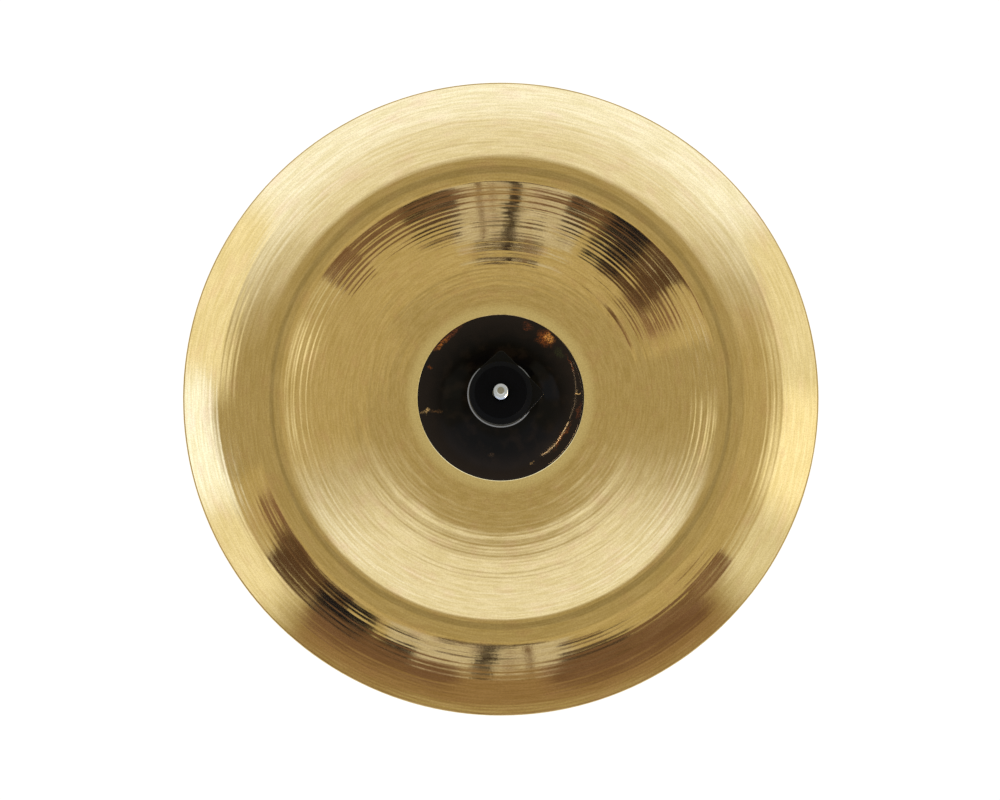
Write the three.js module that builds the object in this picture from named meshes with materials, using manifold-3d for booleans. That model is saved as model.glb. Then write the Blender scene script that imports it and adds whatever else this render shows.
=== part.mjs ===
// A china cymbal on its stand fitting: a bronze plate held between two felts by a quick-release nut,
// on a threaded rod that a tilting head carries on a short round stem.
// Millimetres, +Z up. The origin is the centre of the stem's foot.

import * as THREE from "three";
import { mergeVertices } from "three/addons/utils/BufferGeometryUtils.js";
import Module from "manifold-3d";

const wasm = await Module();
wasm.setup();

// Clearances shared by all pieces
const restGap = 0.3; // between two pieces that rest on each other
const boreClearance = 0.3; // round a rod, pin or screw in its hole
const cutOverrun = 1.7; // how far a cut runs past the face that it opens

// How finely round things are divided
const plateSegments = 64;
const turnedSegments = 32;
const smallSegments = 12;
const outlineSegments = 6;
const edgeSteps = 4;
const hexSides = 6;

// Cymbal plate: bell, bow, crease and upturned flange
const plateDiameter = 355.6;
const plateWall = 1.05;
const plateHoleDiameter = 12;
const bellDiameter = 92.4;
const bellHeight = 13;
const bellFootRun = 3.2; // reach of the blend where the bell meets the bow
const creaseDiameter = 256;
const creaseRun = 5.5; // reach of the blend on each side of the crease
const bowDrop = 15;
const flangeRise = 13.5;
const bowStartSlopeShare = 0.12; // fall over run where the bow leaves the bell
const flangeStartSlopeShare = 0.18; // rise over run where the flange leaves the crease
const bellSteps = 5;
const footSteps = 2;
const bowSteps = 5;
const creaseSteps = 4;
const flangeSteps = 4;

// Felts above and below the plate
const upperFeltDiameter = 34;
const upperFeltThickness = 5;
const lowerFeltDiameter = 38;
const lowerFeltThickness = 9;
const feltEdge = 1.1; // rounding of a felt's free edges
const feltSteps = 4;

// Sleeve that keeps the plate off the rod
const sleeveWall = 1;
const sleeveFlangeDiameter = 27;
const sleeveFlangeThickness = 1.6;

// Threaded rod, its lock nut and the washer that carries the lower felt
const rodDiameter = 8;
const rodStickOut = 11; // above the quick-release nut
const rodTipDiameter = 4;
const rodNeckDiameter = 6;
const rodTipChamfer = 0.5;
const rodNeckChamfer = 1.4;
const lockNutAcrossFlats = 13;
const lockNutHeight = 6.5;
const lockNutEdge = 0.9;
const seatWasherDiameter = 35;
const seatWasherThickness = 2;
const seatWasherEdge = 0.7;

// Quick-release nut: skirt, slide, half nut, spring, cap and two screws
const skirtDiameter = 37.4;
const skirtHeight = 3.8;
const skirtEdge = 1.2;
const nutBoreClearance = 0.6; // round the rod in the skirt and the cap
const wallThickness = 3.1; // of the curved wall behind the slide, which is flush with the cap
const wallFrontU = -2; // where the curved wall ends, along the push direction
const pushAngle = THREE.MathUtils.degToRad(44.5); // direction that the slide sticks out
const slideTravel = 2.5;
const slideThickness = 4.6;
const slideSpare = 1; // between the slide's shoulders and the curved wall when it is pressed home
const slideFaceU = 17.6; // the pressed face, from the axis
const slideFaceHalfWidth = 17.4;
const slideCornerRadius = 2.6;
const slideSideReach = 18.2; // half width where the sides meet the shoulders
const tongueHalfWidth = 8.5;
const tongueBackWall = 2.3;
const tongueCorner = 3;
const windowSpare = 0.7; // between the rod and the window's end when the slide is pressed home
const windowHalfWidth = 6;
const jawFrontU = -0.6;
const springWireDiameter = 0.5;
const springMeanDiameter = 2.6;
const springTurns = 3.5;
const springPocketDepth = 1;
const springPocketClearance = 0.3;
const springStepsPerTurn = 8;
const springEndSteps = 4;
const springSides = 5;
const capHeight = 5.4;
const capDiameter = 35.2;
const capTopDiameter = 29.4;
const capBevelHeight = 2.6;
const capCrown = 0.3; // rise of the cap's top towards its bore
const nutScrewDiameter = 2;
const nutScrewHeadDiameter = 3.8;
const nutScrewHeadHeight = 1.3;
const nutScrewU = -6;
const nutScrewV = 11;
const nutScrewBite = 3; // depth of the screw's hole in the cap
const nutPostDiameter = 4;

// Tilting head: drum, arm and two friction discs
const drumDiameter = 25;
const drumWidth = 18;
const armDiameter = 17;
const armTopDiameter = 20;
const armHeight = 22; // from the tilt axis to the arm's top face
const armFlare = 3;
const armTopHeight = 3;
const rodDepth = 15; // of the rod's socket in the arm
const frictionDiscDiameter = 24;
const frictionDiscThickness = 1.2;

// Forked base, its bolt, washer and wing nut
const cheekDiameter = 25;
const cheekThickness = 6;
const drumHeadroom = 1; // under the drum
const bridgeHeight = 5;
const collarDiameter = 23;
const collarHeight = 20;
const collarEdge = 1.2;
const tiltBoltDiameter = 8;
const tiltBoltAcrossFlats = 13;
const tiltBoltHeadHeight = 5.3;
const tiltBoltRecess = 2.5; // depth of the hex pocket that stops the bolt turning
const tiltBoltStickOut = 2.4; // past the wing nut
const tiltBoltEdge = 0.9;
const wingWasherDiameter = 17;
const wingWasherThickness = 1.6;
const wingHubDiameter = 16;
const wingHubEndDiameter = 13;
const wingHubHeight = 10;
const wingThickness = 3.4;
const wingReach = 20; // from the bolt's axis to the centre of the wing's round end
const wingTipRadius = 5;
const wingLean = 9; // how far the wing's end stands beyond its root, along the bolt
const wingRootInset = 1; // of the wing's root from the hub's wide face

// Stem and the pin that holds it in the base
const stemDiameter = 12.7;
const stemLength = 72;
const stemInset = 16; // depth of the stem in the collar
const stemEdge = 1;
const stemPinDiameter = 4;
const stemPinInset = 0.5; // of the pin's ends below the collar's surface

// Levels that follow from the sizes above
const collarBottomZ = stemLength - stemInset;
const collarTopZ = collarBottomZ + collarHeight;
const bridgeTopZ = collarTopZ + bridgeHeight;
const tiltAxisZ = bridgeTopZ + drumHeadroom + drumDiameter / 2;
const armTopZ = tiltAxisZ + armHeight;
const lockNutZ = armTopZ + restGap;
const seatWasherZ = lockNutZ + lockNutHeight + restGap;
const sleeveZ = seatWasherZ + seatWasherThickness + restGap;
const lowerFeltZ = sleeveZ + sleeveFlangeThickness + restGap;
const bellApexZ = lowerFeltZ + lowerFeltThickness + restGap + plateWall;
const bellFootZ = bellApexZ - bellHeight;
const upperFeltTopZ = bellApexZ + restGap + upperFeltThickness;
const skirtZ = upperFeltTopZ + restGap;
const slideZ = skirtZ + skirtHeight + restGap;
const capZ = slideZ + slideThickness + restGap;
const rodTopZ = capZ + capHeight + rodStickOut;
const rodBottomZ = armTopZ - rodDepth + restGap;

// Widths that follow from the sizes above
const discInnerX = drumWidth / 2 + restGap;
const cheekInnerX = discInnerX + frictionDiscThickness + restGap;
const cheekOuterX = cheekInnerX + cheekThickness;
const wingWasherX = cheekOuterX + restGap;
const wingNutX = wingWasherX + wingWasherThickness + restGap;
const tiltBoltEndX = wingNutX + wingHubHeight + tiltBoltStickOut;
const sleeveInnerRadius = rodDiameter / 2 + boreClearance;
const sleeveOuterRadius = sleeveInnerRadius + sleeveWall;
const feltHoleRadius = sleeveOuterRadius + boreClearance;
const bellRadius = bellDiameter / 2;
const bellSphereRadius = (bellRadius ** 2 + bellHeight ** 2) / (bellHeight + bellHeight);
const bellCentreZ = bellApexZ - bellSphereRadius;
const slideShoulderU = wallFrontU + slideTravel + slideSpare;
const windowHalfLength = rodDiameter / 2 + slideTravel + windowSpare;
const tongueBackU = -windowHalfLength - tongueBackWall;
const creaseRadius = creaseDiameter / 2;
const creaseZ = bellFootZ - bowDrop;

// Materials

function finish(color, roughness, metalness) {
  return new THREE.MeshStandardMaterial({ color, roughness, metalness });
}

const bronze = finish(0xc9ab5f, 0.25, 1);
const steel = finish(0xc4c6c8, 0.3, 1);
const chrome = finish(0xd6d8da, 0.12, 1);
const blackPlastic = finish(0x17171a, 0.4, 0);
const whiteNylon = finish(0xe6e2d6, 0.5, 0);
const fibre = finish(0x5a3b28, 0.8, 0);
const felt = finish(0x4b4a48, 0.95, 0);

// Solids: geometry made closed, joined and cut

function toSolid(geometry) {
  const bare = geometry.clone();
  bare.deleteAttribute("normal");
  bare.deleteAttribute("uv");
  const merged = mergeVertices(bare);
  const corners = merged.index.array;
  const kept = [];
  for (let i = 0; i < corners.length; i += 3) {
    const [a, b, c] = corners.slice(i, i + 3);
    if (a !== b && b !== c && c !== a) {
      kept.push(a, b, c);
    }
  }
  const vertProperties = new Float32Array(merged.attributes.position.array);
  const triVerts = new Uint32Array(kept);
  return new wasm.Manifold(new wasm.Mesh({ numProp: 3, vertProperties, triVerts }));
}

function toGeometry(solid) {
  const made = solid.getMesh();
  const geometry = new THREE.BufferGeometry();
  geometry.setAttribute("position", new THREE.BufferAttribute(made.vertProperties, 3));
  geometry.setIndex(new THREE.BufferAttribute(made.triVerts, 1));
  return geometry;
}

function joined(geometries) {
  return geometries.map(toSolid).reduce((whole, piece) => whole.add(piece));
}

function cut(solid, geometries) {
  return geometries.map(toSolid).reduce((whole, tool) => whole.subtract(tool), solid);
}

// A turned piece round the Z axis. The outline is a list of [radius, z], either closed or
// starting and ending on the axis.
function turned(outline, segments = turnedSegments) {
  const points = outline.map(([radius, z]) => new THREE.Vector2(radius, z));
  if (THREE.ShapeUtils.isClockWise(points)) {
    points.reverse();
  }
  const touchesAxis = points.some((point) => point.x === 0);
  if (touchesAxis) {
    while (!(points[0].x === 0 && points[points.length - 1].x === 0)) {
      points.push(points.shift());
    }
  } else {
    points.push(points[0].clone());
  }
  const geometry = new THREE.LatheGeometry(points, segments);
  geometry.rotateX(Math.PI / 2);
  return geometry;
}

function ring(innerRadius, outerRadius, bottom, top, edge = 0, segments = turnedSegments) {
  const outline = [
    [innerRadius, bottom],
    [outerRadius - edge, bottom],
    [outerRadius, bottom + edge],
    [outerRadius, top - edge],
    [outerRadius - edge, top],
    [innerRadius, top],
  ];
  if (edge === 0) {
    outline.splice(2, 2);
  }
  return turned(outline, segments);
}

function disc(radius, bottom, top, segments = turnedSegments) {
  const geometry = new THREE.CylinderGeometry(radius, radius, top - bottom, segments);
  geometry.rotateX(Math.PI / 2);
  geometry.translate(0, 0, (top + bottom) / 2);
  return geometry;
}

function block(low, high) {
  const [width, depth, height] = high.map((value, axis) => value - low[axis]);
  const geometry = new THREE.BoxGeometry(width, depth, height);
  geometry.translate(...high.map((value, axis) => (value + low[axis]) / 2));
  return geometry;
}

// A prism of an XY outline, from one height to another.
function prism(shape, bottom, top) {
  const settings = { depth: top - bottom, bevelEnabled: false, curveSegments: outlineSegments };
  const geometry = new THREE.ExtrudeGeometry(shape, settings);
  geometry.translate(0, 0, bottom);
  return geometry;
}

// A hexagonal prism with turned-off corners, two of its flats facing X.
function hexagon(acrossFlats, bottom, top, edge) {
  const cornerRadius = acrossFlats / Math.sqrt(3);
  const prismSolid = toSolid(disc(cornerRadius, bottom, top, hexSides));
  const facing = toSolid(
    turned([
      [0, bottom],
      [cornerRadius - edge, bottom],
      [cornerRadius + edge, bottom + edge],
      [cornerRadius + edge, top - edge],
      [cornerRadius - edge, top],
      [0, top],
    ]),
  );
  return prismSolid.intersect(facing);
}

// Turns a piece modelled along +Z so that it lies along +X.
function alongX(geometry) {
  geometry.rotateY(Math.PI / 2);
  return geometry;
}

const cymbal = new THREE.Group();

function place(name, geometry, material, parent = cymbal) {
  const piece = new THREE.Mesh(geometry, material);
  piece.name = name;
  parent.add(piece);
  return piece;
}

// Cymbal plate

function bowZ(radius) {
  const run = creaseRadius - bellRadius;
  const endSlope = (bowDrop + bowDrop) / run - bowStartSlopeShare;
  const along = radius - bellRadius;
  const bend = (endSlope - bowStartSlopeShare) / (run + run);
  return bellFootZ - bowStartSlopeShare * along - bend * along ** 2;
}

function flangeZ(radius) {
  const run = plateDiameter / 2 - creaseRadius;
  const bend = (flangeRise - flangeStartSlopeShare * run) / run ** 2;
  const along = radius - creaseRadius;
  return creaseZ + flangeStartSlopeShare * along + bend * along ** 2;
}

// The upper surface from the hole to the rim, as [radius, z].
function plateTopLine() {
  const line = new THREE.Path();
  const holeAngle = Math.acos(plateHoleDiameter / 2 / bellSphereRadius);
  const footAngle = Math.acos((bellRadius - bellFootRun) / bellSphereRadius);
  const footEnd = bellRadius + bellFootRun;
  const creaseStart = creaseRadius - creaseRun;
  const creaseEnd = creaseRadius + creaseRun;
  const bell = new THREE.EllipseCurve(
    0, bellCentreZ, bellSphereRadius, bellSphereRadius, holeAngle, footAngle, true,
  );
  line.add(bell);
  line.currentPoint.copy(bell.getPoint(1));
  line.quadraticCurveTo(bellRadius, bellFootZ, footEnd, bowZ(footEnd));
  const bowPoints = sampled(footEnd, creaseStart, bowSteps, bowZ);
  line.currentPoint.set(creaseStart, bowZ(creaseStart));
  line.quadraticCurveTo(creaseRadius, creaseZ, creaseEnd, flangeZ(creaseEnd));
  const flangePoints = sampled(creaseEnd, plateDiameter / 2, flangeSteps, flangeZ);
  const [bellArc, footBlend, creaseBlend] = line.curves;
  return [
    ...bellArc.getPoints(bellSteps).slice(0, -1),
    ...footBlend.getPoints(footSteps).slice(0, -1),
    ...bowPoints.slice(0, -1),
    ...creaseBlend.getPoints(creaseSteps).slice(0, -1),
    ...flangePoints,
  ];
}

function sampled(start, end, steps, height) {
  return Array.from({ length: steps + 1 }, (_, i) => {
    const radius = start + ((end - start) * i) / steps;
    return new THREE.Vector2(radius, height(radius));
  });
}

// The same line moved square to itself by the plate's wall.
function undersideOf(line) {
  return line.map((point, i) => {
    const before = line[Math.max(i - 1, 0)];
    const after = line[Math.min(i + 1, line.length - 1)];
    const along = after.clone().sub(before).normalize();
    return new THREE.Vector2(point.x + along.y * plateWall, point.y - along.x * plateWall);
  });
}

function buildPlate() {
  const top = plateTopLine();
  const underside = undersideOf(top);
  underside[0].x = plateHoleDiameter / 2;
  underside[underside.length - 1].x = plateDiameter / 2;
  const outline = [...top, ...underside.reverse()].map((point) => [point.x, point.y]);
  place("cymbal_plate", turned(outline, plateSegments), bronze);
}

// Felts: flat on the hardware side, fitted to the bell on the other

function bellSurfaceZ(radius, sphereRadius) {
  return bellCentreZ + Math.sqrt(sphereRadius ** 2 - radius ** 2);
}

function feltOutline(outerRadius, flatZ, sphereRadius, gap) {
  const side = Math.sign(gap); // the felt lies above the bell or below it
  const fitted = Array.from({ length: feltSteps + 1 }, (_, i) => {
    const radius = feltHoleRadius + ((outerRadius - feltEdge - feltHoleRadius) * i) / feltSteps;
    return [radius, bellSurfaceZ(radius, sphereRadius) + gap];
  });
  const rimZ = bellSurfaceZ(outerRadius, sphereRadius) + gap;
  return [
    ...fitted,
    [outerRadius, rimZ + side * feltEdge],
    [outerRadius, flatZ - side * feltEdge],
    [outerRadius - feltEdge, flatZ],
    [feltHoleRadius, flatZ],
  ];
}

function buildFelts() {
  const upper = feltOutline(upperFeltDiameter / 2, upperFeltTopZ, bellSphereRadius, restGap);
  place("upper_felt", turned(upper), felt);
  const innerSphere = bellSphereRadius - plateWall;
  const lower = feltOutline(lowerFeltDiameter / 2, lowerFeltZ, innerSphere, -restGap);
  place("lower_felt", turned(lower), felt);
}

// Sleeve, rod, lock nut and seat washer

function buildSleeve() {
  const outline = [
    [sleeveInnerRadius, sleeveZ],
    [sleeveFlangeDiameter / 2, sleeveZ],
    [sleeveFlangeDiameter / 2, sleeveZ + sleeveFlangeThickness],
    [sleeveOuterRadius, sleeveZ + sleeveFlangeThickness],
    [sleeveOuterRadius, upperFeltTopZ],
    [sleeveInnerRadius, upperFeltTopZ],
  ];
  place("cymbal_sleeve", turned(outline), whiteNylon);
}

function buildRod() {
  const neckZ = rodTopZ - rodTipChamfer;
  const outline = [
    [0, rodBottomZ],
    [rodDiameter / 2, rodBottomZ],
    [rodDiameter / 2, neckZ - rodNeckChamfer],
    [rodNeckDiameter / 2, neckZ],
    [rodTipDiameter / 2, rodTopZ],
    [0, rodTopZ],
  ];
  place("threaded_rod", turned(outline), steel);
}

function buildLockNut() {
  const bore = disc(sleeveInnerRadius, lockNutZ - cutOverrun, seatWasherZ + cutOverrun);
  const body = hexagon(lockNutAcrossFlats, lockNutZ, lockNutZ + lockNutHeight, lockNutEdge);
  place("rod_lock_nut", toGeometry(cut(body, [bore])), steel);
}

function buildSeatWasher() {
  const top = seatWasherZ + seatWasherThickness;
  const washer = ring(sleeveInnerRadius, seatWasherDiameter / 2, seatWasherZ, top, seatWasherEdge);
  place("seat_washer", washer, chrome);
}

// Quick-release nut, modelled along its push direction and then turned

const nutFrame = new THREE.Group();
nutFrame.rotation.z = pushAngle;
cymbal.add(nutFrame);

const nutBoreRadius = rodDiameter / 2 + nutBoreClearance;
const wallInnerRadius = capDiameter / 2 - wallThickness;

function curvedWallShape() {
  const outerAngle = Math.acos(wallFrontU / (capDiameter / 2));
  const innerAngle = Math.acos(wallFrontU / wallInnerRadius);
  const shape = new THREE.Shape();
  shape.absarc(0, 0, capDiameter / 2, outerAngle, -outerAngle + Math.PI + Math.PI, false);
  shape.absarc(0, 0, wallInnerRadius, -innerAngle + Math.PI + Math.PI, innerAngle, true);
  shape.closePath();
  return shape;
}

function atScrews(makeOne) {
  return [-nutScrewV, nutScrewV].map((v) => makeOne().translate(nutScrewU, v, 0));
}

function buildSkirt() {
  const top = skirtZ + skirtHeight;
  const wallTop = slideZ + slideThickness;
  const outer = skirtDiameter / 2;
  const edgeArc = Array.from({ length: edgeSteps + 1 }, (_, i) => {
    const angle = (i / edgeSteps) * (Math.PI / 2);
    const radius = outer - skirtEdge + skirtEdge * Math.cos(angle);
    return [radius, top - skirtEdge + skirtEdge * Math.sin(angle)];
  });
  const skirt = turned([[nutBoreRadius, skirtZ], [outer, skirtZ], ...edgeArc, [nutBoreRadius, top]]);
  const wall = prism(curvedWallShape(), top - skirtEdge, wallTop);
  const posts = atScrews(() => disc(nutPostDiameter / 2, top - skirtEdge, wallTop, smallSegments));
  const holeRadius = nutScrewDiameter / 2 + boreClearance;
  const headRadius = nutScrewHeadDiameter / 2 + boreClearance;
  const headRoofZ = skirtZ + nutScrewHeadHeight + restGap;
  const below = skirtZ - cutOverrun;
  const holes = atScrews(() => disc(holeRadius, below, wallTop + cutOverrun, smallSegments));
  const pockets = atScrews(() => disc(headRadius, below, headRoofZ, smallSegments));
  const body = cut(joined([skirt, wall, ...posts]), [...holes, ...pockets]);
  place("nut_skirt", toGeometry(body), blackPlastic, nutFrame);
}

function slideShape() {
  const corner = slideCornerRadius;
  const shape = new THREE.Shape();
  shape.moveTo(slideShoulderU, -slideSideReach);
  shape.lineTo(slideFaceU - corner, -slideFaceHalfWidth);
  shape.quadraticCurveTo(slideFaceU, -slideFaceHalfWidth, slideFaceU, corner - slideFaceHalfWidth);
  shape.lineTo(slideFaceU, slideFaceHalfWidth - corner);
  shape.quadraticCurveTo(slideFaceU, slideFaceHalfWidth, slideFaceU - corner, slideFaceHalfWidth);
  shape.lineTo(slideShoulderU, slideSideReach);
  shape.lineTo(slideShoulderU, tongueHalfWidth);
  shape.lineTo(tongueBackU + tongueCorner, tongueHalfWidth);
  shape.quadraticCurveTo(tongueBackU, tongueHalfWidth, tongueBackU, tongueHalfWidth - tongueCorner);
  shape.lineTo(tongueBackU, tongueCorner - tongueHalfWidth);
  shape.quadraticCurveTo(tongueBackU, -tongueHalfWidth, tongueBackU + tongueCorner, -tongueHalfWidth);
  shape.lineTo(slideShoulderU, -tongueHalfWidth);
  shape.closePath();
  return shape;
}

const springZ = slideZ + slideThickness / 2;
const springPocketRadius = (springMeanDiameter + springWireDiameter) / 2 + springPocketClearance;
const springPocketU = tongueBackU + springPocketDepth;

function buildSlide() {
  const top = slideZ + slideThickness;
  const body = toSolid(prism(slideShape(), slideZ, top));
  const window = block(
    [-windowHalfLength, -windowHalfWidth, slideZ - cutOverrun],
    [windowHalfLength, windowHalfWidth, top + cutOverrun],
  );
  const pocket = alongX(disc(springPocketRadius, tongueBackU - cutOverrun, springPocketU, smallSegments));
  pocket.translate(0, 0, springZ);
  place("push_slide", toGeometry(cut(body, [window, pocket])), blackPlastic, nutFrame);
}

function buildHalfNut() {
  const top = slideZ + slideThickness;
  const halfWidth = windowHalfWidth - restGap;
  const jaw = block([restGap - windowHalfLength, -halfWidth, slideZ], [jawFrontU, halfWidth, top]);
  const rodSpace = disc(sleeveInnerRadius, slideZ - cutOverrun, top + cutOverrun);
  place("half_nut", toGeometry(cut(toSolid(jaw), [rodSpace])), steel, nutFrame);
}

// The spring's wire: straight ends square to their seats, and turns between them.
class SpringWire extends THREE.Curve {
  constructor(start, end) {
    super();
    this.start = start;
    this.end = end;
    this.radius = springMeanDiameter / 2;
    this.straight = springWireDiameter;
    const turnLength = Math.hypot(2 * Math.PI * this.radius * springTurns, end - start);
    this.endShare = this.straight / (turnLength + this.straight + this.straight);
  }

  getPoint(share, target = new THREE.Vector3()) {
    const wound = (share - this.endShare) / (1 - this.endShare - this.endShare);
    const turn = THREE.MathUtils.clamp(wound, 0, 1);
    const before = Math.min(share / this.endShare, 1) * this.straight;
    const after = Math.max(1 - (1 - share) / this.endShare, 0) * this.straight;
    const run = this.end - this.start - this.straight - this.straight;
    const angle = turn * springTurns * 2 * Math.PI;
    const along = this.start + before + turn * run + after;
    return target.set(along, this.radius * Math.cos(angle), this.radius * Math.sin(angle));
  }
}

// Between points on the wire that lie most of a turn apart or more.
function leastSpringGap(wire) {
  const samplesPerTurn = springStepsPerTurn * springStepsPerTurn;
  const apart = samplesPerTurn - springStepsPerTurn;
  const samples = wire.getPoints(springTurns * samplesPerTurn);
  let least = Infinity;
  for (let i = 0; i < samples.length; i += 1) {
    for (let j = i + apart; j < samples.length; j += 1) {
      least = Math.min(least, samples[i].distanceTo(samples[j]));
    }
  }
  return least - springWireDiameter;
}

function buildSpring() {
  const wire = new SpringWire(restGap - wallInnerRadius, springPocketU - restGap);
  const section = new THREE.Shape();
  for (let side = 0; side < springSides; side += 1) {
    const angle = (side / springSides) * 2 * Math.PI;
    const radius = springWireDiameter / 2;
    const at = [radius * Math.cos(angle), radius * Math.sin(angle)];
    if (side === 0) {
      section.moveTo(...at);
    } else {
      section.lineTo(...at);
    }
  }
  section.closePath();
  const steps = springTurns * springStepsPerTurn + springEndSteps;
  const coil = new THREE.ExtrudeGeometry(section, { steps, extrudePath: wire, curveSegments: 1 });
  coil.translate(0, 0, springZ);
  place("slide_spring", coil, steel, nutFrame);
  console.log(`slide spring: least gap between turns ${leastSpringGap(wire).toFixed(2)} mm`);
}

function buildCap() {
  const top = capZ + capHeight;
  const cap = turned([
    [nutBoreRadius, capZ],
    [capDiameter / 2, capZ],
    [capDiameter / 2, top - capCrown - capBevelHeight],
    [capTopDiameter / 2, top - capCrown],
    [nutBoreRadius, top],
  ]);
  const holeRadius = nutScrewDiameter / 2 + boreClearance;
  const holes = atScrews(() => disc(holeRadius, capZ - cutOverrun, capZ + nutScrewBite, smallSegments));
  place("nut_cap", toGeometry(cut(toSolid(cap), holes)), blackPlastic, nutFrame);
}

function buildNutScrews() {
  const headTop = skirtZ + nutScrewHeadHeight;
  const tip = capZ + nutScrewBite - restGap;
  const outline = [
    [0, skirtZ],
    [nutScrewHeadDiameter / 2, skirtZ],
    [nutScrewHeadDiameter / 2, headTop],
    [nutScrewDiameter / 2, headTop],
    [nutScrewDiameter / 2, tip],
    [0, tip],
  ];
  atScrews(() => turned(outline, smallSegments)).forEach((screw, i) => {
    place(`nut_screw_${i + 1}`, screw, steel, nutFrame);
  });
}

// Tilting head and its friction discs

function buildTilterHead() {
  const drum = alongX(disc(drumDiameter / 2, -drumWidth / 2, drumWidth / 2));
  drum.translate(0, 0, tiltAxisZ);
  const flareZ = armTopZ - armTopHeight;
  const arm = turned([
    [0, tiltAxisZ],
    [armDiameter / 2, tiltAxisZ],
    [armDiameter / 2, flareZ - armFlare],
    [armTopDiameter / 2, flareZ],
    [armTopDiameter / 2, armTopZ],
    [0, armTopZ],
  ]);
  const boltRadius = tiltBoltDiameter / 2 + boreClearance;
  const boltBore = alongX(disc(boltRadius, -cheekOuterX, cheekOuterX));
  boltBore.translate(0, 0, tiltAxisZ);
  const socket = disc(sleeveInnerRadius, armTopZ - rodDepth, armTopZ + cutOverrun);
  place("tilter_head", toGeometry(cut(joined([drum, arm]), [boltBore, socket])), chrome);
}

function buildFrictionDiscs() {
  const boreRadius = tiltBoltDiameter / 2 + boreClearance;
  const outerX = discInnerX + frictionDiscThickness;
  const sides = { left: [-outerX, -discInnerX], right: [discInnerX, outerX] };
  for (const [side, [from, to]] of Object.entries(sides)) {
    const plate = alongX(ring(boreRadius, frictionDiscDiameter / 2, from, to));
    plate.translate(0, 0, tiltAxisZ);
    place(`friction_disc_${side}`, plate, fibre);
  }
}

// Forked base

function cheek(fromX, toX) {
  const radius = cheekDiameter / 2;
  const shape = new THREE.Shape();
  shape.moveTo(-tiltAxisZ, radius);
  shape.lineTo(-collarTopZ, radius);
  shape.lineTo(-collarTopZ, -radius);
  shape.lineTo(-tiltAxisZ, -radius);
  shape.absarc(-tiltAxisZ, 0, radius, -Math.PI / 2, -Math.PI - Math.PI / 2, true);
  return alongX(prism(shape, fromX, toX));
}

function buildTilterBase() {
  const collarRadius = collarDiameter / 2;
  const collar = turned([
    [0, collarBottomZ],
    [collarRadius - collarEdge, collarBottomZ],
    [collarRadius, collarBottomZ + collarEdge],
    [collarRadius, bridgeTopZ - collarEdge],
    [0, bridgeTopZ - collarEdge],
  ]);
  const depth = cheekDiameter / 2;
  const bridge = block([-cheekOuterX, -depth, collarTopZ], [cheekOuterX, depth, bridgeTopZ]);
  const cheeks = [cheek(-cheekOuterX, -cheekInnerX), cheek(cheekInnerX, cheekOuterX)];
  const body = joined([collar, bridge, ...cheeks]);

  const stemBoreRadius = stemDiameter / 2 + boreClearance;
  const stemBore = disc(stemBoreRadius, collarBottomZ - cutOverrun, stemLength + restGap);
  const boltBoreRadius = tiltBoltDiameter / 2 + boreClearance;
  const reach = cheekOuterX + cutOverrun;
  const boltBore = alongX(disc(boltBoreRadius, -reach, reach)).translate(0, 0, tiltAxisZ);
  const pocketFlats = tiltBoltAcrossFlats + boreClearance + boreClearance;
  const pocket = disc(pocketFlats / Math.sqrt(3), -reach, tiltBoltRecess - cheekOuterX, hexSides);
  const hexPocket = alongX(pocket).translate(0, 0, tiltAxisZ);
  place("tilter_base", toGeometry(cut(body, [stemBore, boltBore, hexPocket, pinHole()])), chrome);
}

function pinHole() {
  const radius = stemPinDiameter / 2 + boreClearance;
  const hole = disc(radius, -collarDiameter, collarDiameter, smallSegments);
  return hole.rotateX(Math.PI / 2).translate(0, 0, stemPinZ);
}

// Bolt, washer and wing nut along the tilt axis

function buildTiltBolt() {
  const headInX = tiltBoltRecess - restGap - cheekOuterX;
  const headOutX = headInX - tiltBoltHeadHeight;
  const head = hexagon(tiltBoltAcrossFlats, headOutX, headInX, tiltBoltEdge);
  const radius = tiltBoltDiameter / 2;
  const shankStart = headInX - tiltBoltHeadHeight / 2;
  const shank = toSolid(
    turned([
      [0, shankStart],
      [radius, shankStart],
      [radius, tiltBoltEndX - tiltBoltEdge],
      [radius - tiltBoltEdge, tiltBoltEndX],
      [0, tiltBoltEndX],
    ]),
  );
  const bolt = alongX(toGeometry(head.add(shank))).translate(0, 0, tiltAxisZ);
  place("tilt_bolt", bolt, steel);
}

function buildWingWasher() {
  const inner = tiltBoltDiameter / 2 + boreClearance;
  const outer = wingWasherDiameter / 2;
  const washer = alongX(ring(inner, outer, wingWasherX, wingWasherX + wingWasherThickness));
  place("wing_washer", washer.translate(0, 0, tiltAxisZ), steel);
}

// One wing in the plane of the bolt: x away from the bolt, y along it.
function wingShape(side) {
  const root = wingHubEndDiameter / 2 - wingThickness / 2;
  const tipY = wingRootInset + wingLean + wingTipRadius;
  const shape = new THREE.Shape();
  shape.moveTo(side * root, wingRootInset);
  shape.quadraticCurveTo(side * wingReach, wingRootInset, side * (wingReach + wingTipRadius), tipY);
  shape.quadraticCurveTo(
    side * (wingReach + wingTipRadius), tipY + wingTipRadius, side * wingReach, tipY + wingTipRadius,
  );
  shape.quadraticCurveTo(
    side * (wingReach - wingTipRadius), tipY + wingTipRadius, side * root, wingHubHeight - wingRootInset,
  );
  shape.closePath();
  return shape;
}

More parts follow.
